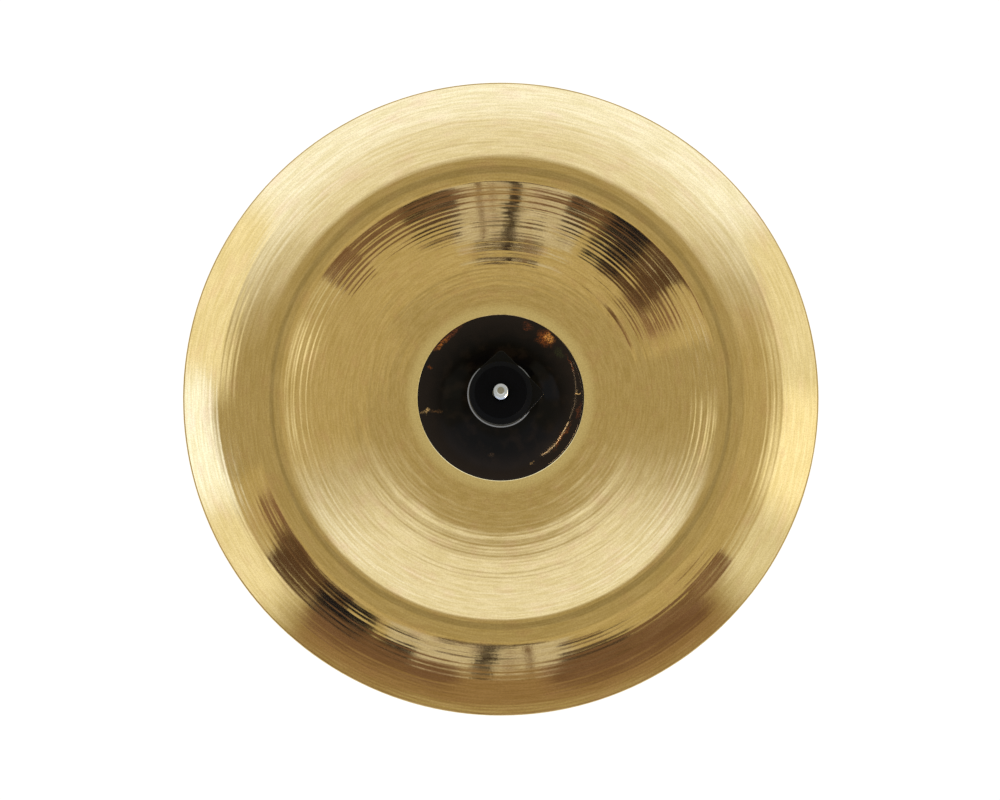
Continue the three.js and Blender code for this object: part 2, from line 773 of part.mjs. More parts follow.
function buildWingNut() {
  const hub = turned([
    [0, 0],
    [wingHubDiameter / 2, 0],
    [wingHubEndDiameter / 2, wingHubHeight],
    [0, wingHubHeight],
  ]);
  const wings = [-1, 1].map((side) => {
    const wing = prism(wingShape(side), -wingThickness / 2, wingThickness / 2);
    return wing.rotateX(Math.PI / 2);
  });
  const bore = disc(tiltBoltDiameter / 2 + boreClearance, -cutOverrun, wingHubHeight + cutOverrun);
  const solid = cut(joined([hub, ...wings]), [bore]);
  const nut = alongX(toGeometry(solid).rotateZ(Math.PI / 2));
  place("wing_nut", nut.translate(wingNutX, 0, tiltAxisZ), chrome);
}

// Stem and its pin

const stemPinZ = stemLength - stemInset / 2;

function buildStem() {
  const radius = stemDiameter / 2;
  const stem = turned([
    [0, 0],
    [radius - stemEdge, 0],
    [radius, stemEdge],
    [radius, stemLength],
    [0, stemLength],
  ]);
  place("stem", toGeometry(cut(toSolid(stem), [pinHole()])), chrome);
}

function buildStemPin() {
  const halfLength = collarDiameter / 2 - stemPinInset;
  const pin = disc(stemPinDiameter / 2, -halfLength, halfLength, smallSegments);
  place("stem_pin", pin.rotateX(Math.PI / 2).translate(0, 0, stemPinZ), steel);
}

buildPlate();
buildFelts();
buildSleeve();
buildRod();
buildLockNut();
buildSeatWasher();
buildSkirt();
buildSlide();
buildHalfNut();
buildSpring();
buildCap();
buildNutScrews();
buildTilterHead();
buildFrictionDiscs();
buildTilterBase();
buildTiltBolt();
buildWingWasher();
buildWingNut();
buildStem();
buildStemPin();

export default cymbal;
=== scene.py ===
"""Looks of a china cymbal that a quick-release nut holds on a tilting head.

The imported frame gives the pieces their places. Shapes are drawn in millimetres, and deliver()
scales each finished piece to the frame's metres.
"""

from __future__ import annotations

import logging
import math
from contextlib import contextmanager
from dataclasses import dataclass, field
from enum import Enum
from itertools import pairwise
from typing import Any, Callable, Iterator, Sequence

import bpy
import numpy as np
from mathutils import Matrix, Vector, noise


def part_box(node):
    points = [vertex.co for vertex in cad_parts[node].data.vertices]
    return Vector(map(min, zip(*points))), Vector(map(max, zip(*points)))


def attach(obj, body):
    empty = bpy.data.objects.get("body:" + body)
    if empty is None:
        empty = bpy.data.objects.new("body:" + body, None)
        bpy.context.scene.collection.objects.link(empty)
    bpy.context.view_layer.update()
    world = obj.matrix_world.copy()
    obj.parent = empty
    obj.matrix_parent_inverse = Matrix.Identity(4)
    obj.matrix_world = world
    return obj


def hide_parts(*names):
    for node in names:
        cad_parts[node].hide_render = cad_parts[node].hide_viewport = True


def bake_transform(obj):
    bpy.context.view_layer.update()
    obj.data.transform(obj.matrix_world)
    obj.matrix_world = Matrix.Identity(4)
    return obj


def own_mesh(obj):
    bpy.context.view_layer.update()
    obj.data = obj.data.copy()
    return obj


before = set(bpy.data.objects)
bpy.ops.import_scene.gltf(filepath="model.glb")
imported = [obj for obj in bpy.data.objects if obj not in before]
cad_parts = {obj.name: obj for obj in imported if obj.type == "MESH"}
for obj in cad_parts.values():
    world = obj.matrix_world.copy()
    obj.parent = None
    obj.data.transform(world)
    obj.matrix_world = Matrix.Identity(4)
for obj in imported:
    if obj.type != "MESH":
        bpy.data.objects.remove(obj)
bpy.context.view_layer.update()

logging.basicConfig(level=logging.INFO, format="%(message)s")
log = logging.getLogger("china_cymbal")

MM = 0.001
WELD = 0.002  # points closer than this, in the units that a piece is drawn in, are one point
OVERRUN = 2.0  # how far a cutter runs past the face that it opens
SMOOTH_ANGLE = math.radians(32)
FULL_TURN = 2 * math.pi
HEX_FACE = 0.475  # the radius of a hexagon's turned-off face, as a share of its width
HEX_EDGE = 0.18
THREAD_DEPTH = 0.6134  # of a metric thread, as a share of its pitch
SMOOTHLY = {"interpolation_type": "SMOOTHSTEP"}
COLOURS = {"data_type": "RGBA"}

Pair = tuple[float, float]
Corner = tuple[float, ...]
Outline = list[Pair]
Piece = bpy.types.Object
Tree = bpy.types.NodeTree
Socket = bpy.types.NodeSocket


class Axis(Enum):
    """The line that a piece is turned round or drawn along, as its number in a vector."""

    X = 0
    Y = 1
    Z = 2

    def point(self, across: float, up: float, along: float) -> Vector:
        """Returns the point at two places across the axis and one along it."""
        places = [across, up]
        places.insert(self.value, along)
        return Vector(places)

    def turning_point(self, radius: float, along: float) -> Vector:
        """Returns the point of a turned outline at a radius and a place along the axis."""
        return self.point(0.0, radius, along) if self is Axis.X else self.point(radius, 0.0, along)

    @property
    def way(self) -> Vector:
        """Returns the axis's direction."""
        return self.point(0.0, 0.0, 1.0)


class Joinery(Enum):
    """What a second solid does to the first."""

    ADD = "UNION"
    CUT = "DIFFERENCE"
    KEEP = "INTERSECT"


@dataclass(frozen=True)
class Span:
    """The space that a CAD node takes at rest, in millimetres."""

    low: Vector
    high: Vector

    @classmethod
    def of(cls, node: str) -> "Span":
        """Reads the span of one node from the frame."""
        low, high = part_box(node)
        return cls(low / MM, high / MM)

    @property
    def bottom(self) -> float:
        """Returns the lowest level."""
        return self.low.z

    @property
    def top(self) -> float:
        """Returns the highest level."""
        return self.high.z

    @property
    def height(self) -> float:
        """Returns the distance from the lowest to the highest level."""
        return self.high.z - self.low.z

    @property
    def radius(self) -> float:
        """Returns half of the width."""
        return (self.high.x - self.low.x) / 2


def spanned(node: str) -> Any:
    """Returns a dataclass field that reads the span of a node."""
    return field(default_factory=lambda: Span.of(node))


def linear(code: str) -> tuple[float, float, float, float]:
    """Turns an sRGB colour, "#RRGGBB", into the linear one that shaders take, with an alpha of 1."""
    shares = [int(code[start : start + 2], 16) / 255 for start in (1, 3, 5)]
    bent = [s / 12.92 if s <= 0.04045 else ((s + 0.055) / 1.055) ** 2.4 for s in shares]
    return (bent[0], bent[1], bent[2], 1.0)


def add_node(tree: Tree, kind: str, inputs: Any = (), output: int | str = 0, **settings: Any) -> Any:
    """Adds a shader node with its settings and links.

    Args:
        tree: The node tree that takes the node.
        kind: The node's type, such as "Math".
        inputs: Its sockets by name or number, or a list of the first few. An output socket is
            linked, a hex colour is turned to linear, and any other value is set.
        output: The output that is wanted, by name or number.
        **settings: The node's own properties.

    Returns:
        That output, or None for a node without outputs.
    """
    node = tree.nodes.new("ShaderNode" + kind)
    for key, value in settings.items():
        setattr(node, key, value)
    for key, value in inputs.items() if isinstance(inputs, dict) else enumerate(inputs):
        if isinstance(value, Socket):
            tree.links.new(value, node.inputs[key])
        else:
            node.inputs[key].default_value = linear(value) if isinstance(value, str) else value
    return node.outputs[output] if node.outputs else None


def painted(name: str, shade: Callable[[Tree], Socket]) -> bpy.types.Material:
    """Makes a material.

    Args:
        name: Its name.
        shade: What adds the shader's nodes to its tree and returns their output.

    Returns:
        The new material.
    """
    material = bpy.data.materials.new(name)
    material.use_nodes = True
    material.node_tree.nodes.clear()
    add_node(material.node_tree, "OutputMaterial", [shade(material.node_tree)])
    return material


# Modelling, in the way of an artist's hands: a primitive, edit mode, then modifiers


def picked(piece: Piece) -> Piece:
    """Selects one piece alone and makes it the active one."""
    bpy.ops.object.select_all(action="DESELECT")
    piece.select_set(True)
    bpy.context.view_layer.objects.active = piece
    return piece


@contextmanager
def editing(piece: Piece, seal: bool = False) -> Iterator[None]:
    """Puts one piece in edit mode with everything on it selected, and leaves it again.

    Args:
        piece: The piece.
        seal: Whether it is welded and its faces are turned outward before leaving.
    """
    picked(piece)
    bpy.ops.object.mode_set(mode="EDIT")
    bpy.ops.mesh.select_all(action="SELECT")
    yield
    if seal:
        bpy.ops.mesh.select_all(action="SELECT")
        bpy.ops.mesh.remove_doubles(threshold=WELD)
        bpy.ops.mesh.normals_make_consistent(inside=False)
    bpy.ops.object.mode_set(mode="OBJECT")


def drawn(name: str, points: Sequence[Vector], closed: bool = False) -> Piece:
    """Draws a line of edges from point to point.

    Args:
        name: The new piece's name.
        points: The line's corners.
        closed: Whether the line runs back to its start.

    Returns:
        The new piece, which has edges and no faces yet.
    """
    bpy.ops.mesh.primitive_plane_add(size=1)
    piece = bpy.context.object
    piece.name = piece.data.name = name
    path = [*points, points[0]] if closed else list(points)
    with editing(piece, seal=True):
        bpy.ops.mesh.merge(type="CENTER")
        bpy.ops.transform.translate(value=path[0])
        for here, there in pairwise(path):
            bpy.ops.mesh.extrude_region_move(TRANSFORM_OT_translate={"value": there - here})
    return piece


def filleted(corners: Sequence[Corner], steps: int = 5) -> Outline:
    """Rounds the corners of an outline that ask for it.

    Args:
        corners: Places in a plane, each with a fillet radius as its third number where it has one.
        steps: How many steps each fillet has.

    Returns:
        The outline's points.
    """
    points: Outline = []
    for i, corner in enumerate(corners):
        here = Vector(corner[:2])
        before = Vector(corners[i - 1][:2]) - here
        after = Vector(corners[(i + 1) % len(corners)][:2]) - here
        if len(corner) < 3 or not corner[2] or before.angle(after) > math.pi - 0.01:
            points.append((here.x, here.y))
            continue
        half = before.angle(after) / 2
        reach = min(corner[2] / math.tan(half), before.length * 0.49, after.length * 0.49)
        first, last = here + before.normalized() * reach, here + after.normalized() * reach
        inward = (before.normalized() + after.normalized()).normalized()
        centre = here + inward * (reach / math.cos(half))
        spoke = first - centre
        turn = spoke.angle_signed(last - centre)
        for angle in [-turn * step / steps for step in range(steps + 1)]:
            across = spoke.x * math.cos(angle) - spoke.y * math.sin(angle)
            up = spoke.x * math.sin(angle) + spoke.y * math.cos(angle)
            points.append((centre.x + across, centre.y + up))
    return points


def arc(radius: float, start: float, end: float, steps: int) -> Outline:
    """Returns points on a circle from one angle to another, both in radians."""
    angles = np.linspace(start, end, steps + 1).tolist()
    return [(radius * math.cos(a), radius * math.sin(a)) for a in angles]


def oblong(half_width: float, half_height: float, corner: float = 0.0) -> list[Corner]:
    """Returns the corners of a rectangle round the origin, each with a fillet radius."""
    signs = ((1, 1), (-1, 1), (-1, -1), (1, -1))
    return [(across * half_width, up * half_height, corner) for across, up in signs]


def blended(start: float, middle: float, end: float, share: float) -> float:
    """Returns the value on a quadratic curve at a share of its run."""
    rest = 1 - share
    return start * rest**2 + 2 * middle * rest * share + end * share**2


def turned(
    name: str,
    corners: Sequence[Corner],
    segments: int = 96,
    axis: Axis = Axis.Z,
    at: Vector | None = None,
    steps: int = 5,
    closed: bool = True,
) -> Piece:
    """Spins an outline round an axis.

    Args:
        name: The new piece's name.
        corners: Pairs of radius and place along the axis, some with a fillet radius.
        segments: How many steps one turn has.
        axis: The axis that it is turned round.
        at: Where the axis runs, or nothing for the origin.
        steps: How many steps each fillet has.
        closed: Whether an outline that doesn't start and end on the axis runs back to its start.

    Returns:
        The new piece.
    """
    centre = at or Vector()
    points = [axis.turning_point(*pair) + centre for pair in filleted(corners, steps)]
    on_axis = corners[0][0] == 0 and corners[-1][0] == 0
    piece = drawn(name, points, closed and not on_axis)
    with editing(piece, seal=True):
        bpy.ops.mesh.spin(steps=segments, angle=FULL_TURN, center=centre, axis=axis.way)
    return piece


def ring(
    name: str,
    radii: Pair,
    ends: Pair,
    edges: Pair,
    segments: int,
    axis: Axis = Axis.Z,
    at: Vector | None = None,
    steps: int = 5,
) -> Piece:
    """Turns a washer with rounded edges, or a bar.

    Args:
        name: The new piece's name.
        radii: Its inner and outer radius. An inner radius of 0 makes a bar.
        ends: Where it starts and ends along the axis.
        edges: The fillet radius of its inner and outer edges.
        segments: How many steps one turn has.
        axis: The axis that it lies along.
        at: Where the axis runs, or nothing for the origin.
        steps: How many steps each fillet has.

    Returns:
        The new piece.
    """
    (inner, outer), (start, end), (soft, edge) = radii, ends, edges
    corners = [(inner, start, soft), (outer, start, edge), (outer, end, edge), (inner, end, soft)]
    return turned(name, corners, segments, axis, at, steps)


def bore(
    name: str,
    radius: float,
    ends: Pair,
    segments: int = 64,
    axis: Axis = Axis.Z,
    at: Vector | None = None,
    mouths: Pair = (0.0, 0.0),
) -> Piece:
    """Makes the cutter of a round hole.

    Args:
        name: The new piece's name.
        radius: The hole's radius.
        ends: Where it starts and ends along the axis.
        segments: How many steps one turn has.
        axis: The axis that it lies along.
        at: Where the axis runs, or nothing for the origin.
        mouths: The chamfers at its start and end. Where there is one, the cutter runs past it.

    Returns:
        The new piece.
    """
    outline: list[Corner] = []
    for place, mouth, out in zip(ends, mouths, (-1, 1)):
        wide, past = radius + mouth, place + out * OVERRUN
        chamfered = [(0.0, past), (wide, past), (wide, place), (radius, place - out * mouth)]
        line = chamfered if mouth else [(0.0, place), (radius, place)]
        outline += line[::-out]
    return turned(name, outline, segments, axis, at)


def prism(
    name: str,
    corners: Sequence[Corner],
    start: float,
    end: float,
    axis: Axis = Axis.Z,
    at: Vector | None = None,
    steps: int = 5,
) -> Piece:
    """Extrudes a closed outline along an axis.

    Args:
        name: The new piece's name.
        corners: Pairs of places across the axis, some with a fillet radius.
        start: Where it starts along the axis.
        end: Where it ends along the axis.
        axis: The axis that it is drawn along.
        at: A shift of the whole piece, or nothing.
        steps: How many steps each fillet has.

    Returns:
        The new piece.
    """
    centre = at or Vector()
    points = [axis.point(*pair, start) + centre for pair in filleted(corners, steps)]
    piece = drawn(name, points, closed=True)
    with editing(piece, seal=True):
        bpy.ops.mesh.edge_face_add()
        bpy.ops.mesh.extrude_region_move(TRANSFORM_OT_translate={"value": axis.way * (end - start)})
    return piece


def apply_modifier(piece: Piece, kind: str, **settings: Any) -> Piece:
    """Adds a modifier and applies it at once.

    Args:
        piece: The piece that takes it.
        kind: The modifier's type, such as "BEVEL".
        **settings: The modifier's properties.

    Returns:
        The same piece.
    """
    modifier = piece.modifiers.new(kind.title(), kind)
    for key, value in settings.items():
        setattr(modifier, key, value)
    picked(piece)
    bpy.ops.object.modifier_apply(modifier=modifier.name)
    return piece


def combine(piece: Piece, joinery: Joinery, *others: Piece) -> Piece:
    """Joins solids to a piece, cuts them out of it or keeps what they share.

    Args:
        piece: The piece that is changed.
        joinery: What the others do to it.
        *others: The other solids, which are used up.

    Returns:
        The same piece.
    """
    for other in others:
        apply_modifier(piece, "BOOLEAN", operation=joinery.value, object=other, solver="EXACT")
        bpy.data.objects.remove(other)
    return piece


def sealed(piece: Piece) -> Piece:
    """Welds the slivers that a boolean leaves on a piece, so that the next one finds it closed.

    Args:
        piece: The piece that is changed.

    Returns:
        The same piece.
    """
    with editing(piece, seal=True):
        return piece


def rounded(piece: Piece, width: float, segments: int = 3, over: float = 60) -> Piece:
    """Rounds a piece's edges.

    Args:
        piece: The piece whose edges are rounded.
        width: The width of the rounding.
        segments: How many steps the rounding has.
        over: The least angle, in degrees, of an edge that is rounded.

    Returns:
        The same piece.
    """
    limit = {"limit_method": "ANGLE", "angle_limit": math.radians(over)}
    return apply_modifier(piece, "BEVEL", width=width, segments=segments, **limit)


def hexagonal(name: str, flats: float, ends: Pair, axis: Axis, at: Vector | None = None) -> Piece:
    """Makes a hexagon head or nut with turned-off corners, two of them pointing along Y.

    Args:
        name: The new piece's name.
        flats: The width between two flats.
        ends: Where it starts and ends along the axis.
        axis: The axis that it lies along, X or Z.
        at: Where the axis runs, or nothing for the origin.

    Returns:
        The new piece.
    """
    start, end = ends
    corner_radius, face_radius = flats / math.sqrt(3), flats * HEX_FACE
    slope = (corner_radius - face_radius) * math.tan(math.radians(30))
    first = 0.0 if axis is Axis.X else math.pi / 2
    outline = arc(corner_radius, first, first + FULL_TURN * 5 / 6, 5)
    barrel = [
        (0.0, start),
        (face_radius, start),
        (corner_radius + slope, start + slope * 2),
        (corner_radius + slope, end - slope * 2),
        (face_radius, end),
        (0.0, end),
    ]
    body = prism(name, outline, start - OVERRUN, end + OVERRUN, axis, at)
    rounded(body, HEX_EDGE, 2, 35)
    return combine(body, Joinery.KEEP, turned("barrel", barrel, 96, axis, at))


def threaded(name: str, radius: float, pitch: float, ends: Pair, axis: Axis = Axis.Z) -> Piece:
    """Winds one pitch of a metric thread's profile into a solid threaded bar.

    Args:
        name: The new piece's name.
        radius: The thread's outer radius.
        pitch: The rise of one turn.
        ends: Where the bar starts and ends along its axis.
        axis: The axis that it lies along, X or Z.

    Returns:
        The new piece, on an axis through the origin.
    """
    start, end = ends
    root, lead = radius - THREAD_DEPTH * pitch, start - 2 * pitch
    shares = [(root, 0.0), (root, 0.25), (radius, 0.5625), (radius, 0.6875), (root, 1.0)]
    bar = drawn(name, [axis.turning_point(r, lead + share * pitch) for r, share in shares])
    apply_modifier(
        bar,
        "SCREW",
        axis=axis.name,
        angle=FULL_TURN,
        screw_offset=pitch,
        iterations=math.ceil((end - start) / pitch) + 4,
        steps=30,
        render_steps=30,
        use_merge_vertices=True,
        merge_threshold=WELD,
    )
    cut = {"plane_no": axis.way, "use_fill": True}
    with editing(bar, seal=True):
        bpy.ops.mesh.remove_doubles(threshold=WELD)
        bpy.ops.mesh.bisect(plane_co=axis.way * start, clear_inner=True, **cut)
        bpy.ops.mesh.select_all(action="SELECT")
        bpy.ops.mesh.bisect(plane_co=axis.way * end, clear_outer=True, **cut)
    return bar


def shifted(piece: Piece, way: Vector) -> Piece:
    """Moves a piece's mesh and leaves its origin where it is."""
    with editing(piece):
        bpy.ops.transform.translate(value=way)
    return piece


def twin(piece: Piece, name: str, way: Vector) -> Piece:
    """Copies a piece with a mesh of its own and moves the copy.

    Args:
        piece: The piece that is copied.
        name: The copy's name.
        way: How far the copy is moved.

    Returns:
        The copy.
    """
    copy = piece.copy()
    copy.data = piece.data.copy()
    copy.name = copy.data.name = name
    bpy.context.scene.collection.objects.link(copy)
    return shifted(copy, way)


def deliver(
    piece: Piece, node: str, slot: str, body: str | None, *finishes: "Finish", turn: float = 0.0
) -> None:
    """Scales a finished piece to metres, dresses it and hands it to the frame.

    Args:
        piece: The piece, modelled in millimetres.
        node: The CAD node that it stands for.
        slot: The record's material slot. Not used.
        body: The body that it rides on, or None for a piece that rides on none, such as a felt between two
            bodies.
        *finishes: Its finishes, in the order of the faces' material numbers.
        turn: Its turn round the Z axis, in radians.
    """
    picked(piece)
    piece.rotation_euler.z = turn
    piece.scale = (MM, MM, MM)
    bpy.ops.object.transform_apply(location=False, rotation=True, scale=True)
    bpy.ops.object.shade_smooth_by_angle(angle=SMOOTH_ANGLE)
    for finish in finishes:
        piece.data.materials.append(finish.material())
    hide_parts(node)
    if body:
        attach(piece, body)
    log.info("%s: %d faces, stands for %s", piece.name, len(piece.data.polygons), node)


# Finishes


def grain(
    tree: Tree, size: float, detail: float = 2.0, stretch: Sequence[float] = (1.0, 1.0, 1.0)
) -> Socket:
    """Adds a cloudy pattern that sits still on the piece.

    Args:
        tree: The material's node tree.
        size: The pattern's grain, in millimetres.
        detail: How many finer layers it has.
        stretch: How much longer the grain is along X, Y and Z.

    Returns:
        A value from 0 to 1.
    """
    place = add_node(tree, "TexCoord", output="Object")
    scale = [1 / (size * MM * along) for along in stretch]
    scaled = add_node(tree, "Mapping", {"Vector": place, "Scale": scale})
    return add_node(tree, "TexNoise", {"Vector": scaled, "Scale": 1.0, "Detail": detail}, "Fac")


def layered(
    tree: Tree, under: Any, over: str, value: Socket, span: Sequence[float], shares: Pair = (0.0, 1.0)
) -> Socket:
    """Lays one colour over another where a pattern asks for it.

    Args:
        tree: The material's node tree.
        under: The colour below, as hex or as a socket.
        over: The colour above, as hex.
        value: The pattern.
        span: The two values between which the upper colour's share changes smoothly.
        shares: Its share at the first value and at the last.

    Returns:
        The colour of both.
    """
    share = add_node(tree, "MapRange", [value, *span, *shares], **SMOOTHLY)
    return add_node(tree, "Mix", {0: share, 6: under, 7: over}, 2, **COLOURS)


def flat_place(tree: Tree) -> tuple[Socket, Socket]:
    """Adds the place on the piece without its height, and the distance from the Z axis."""
    place = add_node(tree, "TexCoord", output="Object")
    flat = add_node(tree, "VectorMath", [place, (1.0, 1.0, 0.0)], operation="MULTIPLY")
    return flat, add_node(tree, "VectorMath", [flat], "Value", operation="LENGTH")


@dataclass(frozen=True)
class Finish:
    """What all finishes share. Each one names the real material and its surface."""

    name: str

    def material(self) -> bpy.types.Material:
        """Makes the material, or finds it if it has been made."""
        return bpy.data.materials.get(self.name) or painted(self.name, self.surface)

    def surface(self, tree: Tree) -> Socket:
        """Adds the shader's nodes and returns its output."""
        raise NotImplementedError


@dataclass(frozen=True)
class LathedBronze(Finish):
    """Bell bronze, lathed in rings and buffed: a pale gold mirror, blurred across the rings."""

    pale: str = "#EAD29B"
    deep: str = "#D9C083"
    red: str = "#E0BA8E"
    shade: str = "#8A6A3C"
    fresh: str = "#FCEBB4"  # the first rings beside the bell
    fresh_radius: float = 53.0
    grit_size: float = 0.7
    ring_pitch: float = 1.1  # a real one is about half of this, too fine for a pixel
    band_width: float = 8.0
    ring_reach: float = 8.0  # how fast a ring's tint changes round the plate
    chatter_size: float = 2.2
    ring_depth: float = 0.004
    chatter_depth: float = 0.005
    gloss: Pair = (0.05, 0.085)
    stretch_share: float = 0.3

    def rings(self, tree: Tree, flat: Socket, radius: Socket, pitch: float, detail: float) -> Socket:
        """Adds a pattern that runs in rings round the Z axis.

        Args:
            tree: The material's node tree.
            flat: The place on the plate, without its height.
            radius: The distance from the axis, in metres.
            pitch: The distance from ring to ring, in millimetres.
            detail: How many finer layers it has.

        Returns:
            A value from 0 to 1.
        """
        outward = add_node(tree, "VectorMath", [flat], operation="NORMALIZE")
        reach = {0: outward, "Scale": self.ring_reach}
        around = add_node(tree, "VectorMath", reach, operation="SCALE")
        count = add_node(tree, "Math", [radius, 1 / (pitch * MM)], operation="MULTIPLY")
        across = add_node(tree, "CombineXYZ", {"Z": count})
        both = add_node(tree, "VectorMath", [around, across], operation="ADD")
        clouds = {"Vector": both, "Scale": 1.0, "Detail": detail, "Roughness": 0.6}
        return add_node(tree, "TexNoise", clouds, "Fac")

    def surface(self, tree: Tree) -> Socket:
        """Adds ring and band tints, fine rings in relief and a blur across them."""
        flat, radius = flat_place(tree)
        fine = self.rings(tree, flat, radius, self.ring_pitch, 3.0)
        bands = self.rings(tree, flat, radius, self.band_width, 2.0)
        fresh_end = ((self.fresh_radius - 4) * MM, (self.fresh_radius + 2) * MM)
        grit = grain(tree, self.grit_size, 1.0)
        tint = layered(tree, self.deep, self.pale, fine, (0.3, 0.7))
        tint = layered(tree, tint, self.red, bands, (0.5, 0.75), (0.0, 0.35))
        tint = layered(tree, tint, self.fresh, radius, fresh_end, (0.85, 0.0))
        tint = layered(tree, tint, self.shade, grit, (0.3, 0.7), (0.0, 0.2))
        chatter = {"Distance": self.chatter_depth * MM, "Height": grain(tree, self.chatter_size)}
        dents = add_node(tree, "Bump", chatter)
        relief = {"Distance": self.ring_depth * MM, "Height": fine, "Normal": dents}
        look = {
            "Base Color": tint,
            "Metallic": 1.0,
            "Roughness": add_node(tree, "MapRange", [bands, 0.3, 0.7, *self.gloss], **SMOOTHLY),
            "Anisotropic": self.stretch_share,
            "Anisotropic Rotation": 0.25,
            "Normal": add_node(tree, "Bump", relief),
            "Tangent": add_node(tree, "Tangent", direction_type="RADIAL", axis="Z"),
        }
        return add_node(tree, "BsdfPrincipled", look)


@dataclass(frozen=True)
class HeatMarkAndGlint:
    """A patch on the bell. Most are spots where the dark skin is thin and the bronze glows through; the
    pale ones at 3, 4 and -65 degrees are painted highlights, and the two at 191 and 193 degrees a painted
    reflection.
    """

    azimuth: float
    radius: float
    across: float
    along: float
    share: float = 1.0
    colour: str = "#8A4A1C"

    @property
    def mapping(self) -> dict[str, Any]:
        """Returns what makes its middle the zero and its edge the 1 of a Mapping node."""
        angle = math.radians(self.azimuth)
        return {
            "Location": Vector((math.cos(angle), math.sin(angle), 0)) * self.radius * MM,
            "Rotation": (0.0, 0.0, angle),
            "Scale": (self.across * MM, self.along * MM, 1.0),
        }


# The gold here is the colour of painted highlights and a painted reflection on the bell; amber, rust and
# olive tint its fire skin.
GLINT_GOLD, AMBER, RUST, OLIVE = "#D9B070", "#B0682A", "#6E3A20", "#34381E"


@dataclass(frozen=True)
class RawBell(Finish):
    """Bell bronze as it left the fire: a glossy near-black oxide skin with amber patches, a few painted
    highlights and a painted reflection.
    """

    skin: str = "#050505"
    warm_skin: str = "#120D09"
    # The next two fields make the skin darker round the nut and lighter towards the edge, between the two
    # radii.
    edge_skin: str = "#1E1814"
    edge_skin_radii: Pair = (28.0, 47.5)
    gloss: Pair = (0.04, 0.07)
    shine: float = 0.058
    cast: str = "#FFEDCE"
    streak_size: float = 0.55
    warp_size: float = 4.0
    warp_reach: float = 7.0
    relief_size: float = 2.2
    relief_depth: float = 0.005
    # Fire marks in the skin, and among them painted highlights and a painted reflection.
    marks: tuple[HeatMarkAndGlint, ...] = (
        HeatMarkAndGlint(130, 45.4, 2.2, 14, 0.9, RUST),
        HeatMarkAndGlint(138, 45.2, 1.6, 7, 0.9, AMBER),
        HeatMarkAndGlint(157, 43.8, 1.6, 1.4, 0.8),
        HeatMarkAndGlint(69, 43.0, 2.6, 5, 0.5, RUST),
        HeatMarkAndGlint(53, 42.0, 6.0, 7.0, 0.9),
        HeatMarkAndGlint(51, 43.0, 3.5, 4.0, 1.0, "#D89448"),
        HeatMarkAndGlint(37, 41.0, 3.0, 5, 0.6, OLIVE),
        HeatMarkAndGlint(26, 43.4, 0.9, 8, 0.8, RUST),
        # Painted highlights: glints of the crescent highlight near the bell's edge.
        HeatMarkAndGlint(3, 43.2, 2.0, 0.7, 1.0, GLINT_GOLD),
        HeatMarkAndGlint(4, 42.0, 0.7, 2.2, 0.9, GLINT_GOLD),
        HeatMarkAndGlint(-10, 44.0, 1.4, 6, 0.6, RUST),
        HeatMarkAndGlint(-32, 40.8, 1.8, 11, 0.7),
        # A painted highlight: a bright spot of the crescent highlight.
        HeatMarkAndGlint(-65, 40.6, 1.3, 1.7, 0.9, "#B8925A"),
        HeatMarkAndGlint(-99, 33.0, 1.4, 2.4, 0.5, "#5A4632"),
        # A painted reflection: a bright thing mirrored on the bell's left.
        HeatMarkAndGlint(191, 42.2, 3.6, 1.7, 1.0, GLINT_GOLD),
        HeatMarkAndGlint(193, 36.5, 4.5, 1.4, 0.6, "#6A4A2A"),
    )

    def surface(self, tree: Tree) -> Socket:
        """Adds the skin, which is darker round the nut and lighter towards the edge, its amber patches,
        its painted highlights and painted reflection, and a little relief.
        """
        clouds = grain(tree, 7.0, 4.0)
        streaks = [grain(tree, self.streak_size, 5.0), 0.4, 0.62, 0.0, 1.0]
        grit = add_node(tree, "MapRange", streaks, **SMOOTHLY)
        flat, radius = flat_place(tree)
        tint = layered(tree, self.skin, self.warm_skin, clouds, (0.45, 0.7))
        # Darker round the nut, lighter towards the edge.
        tint = layered(tree, tint, self.edge_skin, radius, [edge * MM for edge in self.edge_skin_radii])
        place = add_node(tree, "TexCoord", output="Object")
        swirls = {"Vector": place, "Scale": 1 / (self.warp_size * MM), "Detail": 3.0}
        swirl = add_node(tree, "TexNoise", swirls, "Color")
        off = add_node(tree, "VectorMath", [swirl, (0.5, 0.5, 0.5)], operation="SUBTRACT")
        reach = self.warp_reach * MM
        warped = add_node(tree, "VectorMath", [off, (reach, reach, 0.0), flat], operation="MULTIPLY_ADD")
        for mark in self.marks:
            seen_from = {"Vector": warped, **mark.mapping}
            mapped = add_node(tree, "Mapping", seen_from, vector_type="TEXTURE")
            distance = add_node(tree, "VectorMath", [mapped], "Value", operation="LENGTH")
            near = add_node(tree, "MapRange", [distance, 0.2, 1.0, mark.share, 0.0], **SMOOTHLY)
            share = add_node(tree, "Math", [near, grit], operation="MULTIPLY")
            tint = add_node(tree, "Mix", {0: share, 6: tint, 7: mark.colour}, 2, **COLOURS)
        relief = {"Distance": self.relief_depth * MM, "Height": grain(tree, self.relief_size, 3.0)}
        look = {
            "Base Color": tint,
            "Roughness": add_node(tree, "MapRange", [clouds, 0.3, 0.7, *self.gloss], **SMOOTHLY),
            "Specular IOR Level": self.shine,
            "Specular Tint": self.cast,
            "Normal": add_node(tree, "Bump", relief),
        }
        return add_node(tree, "BsdfPrincipled", look)


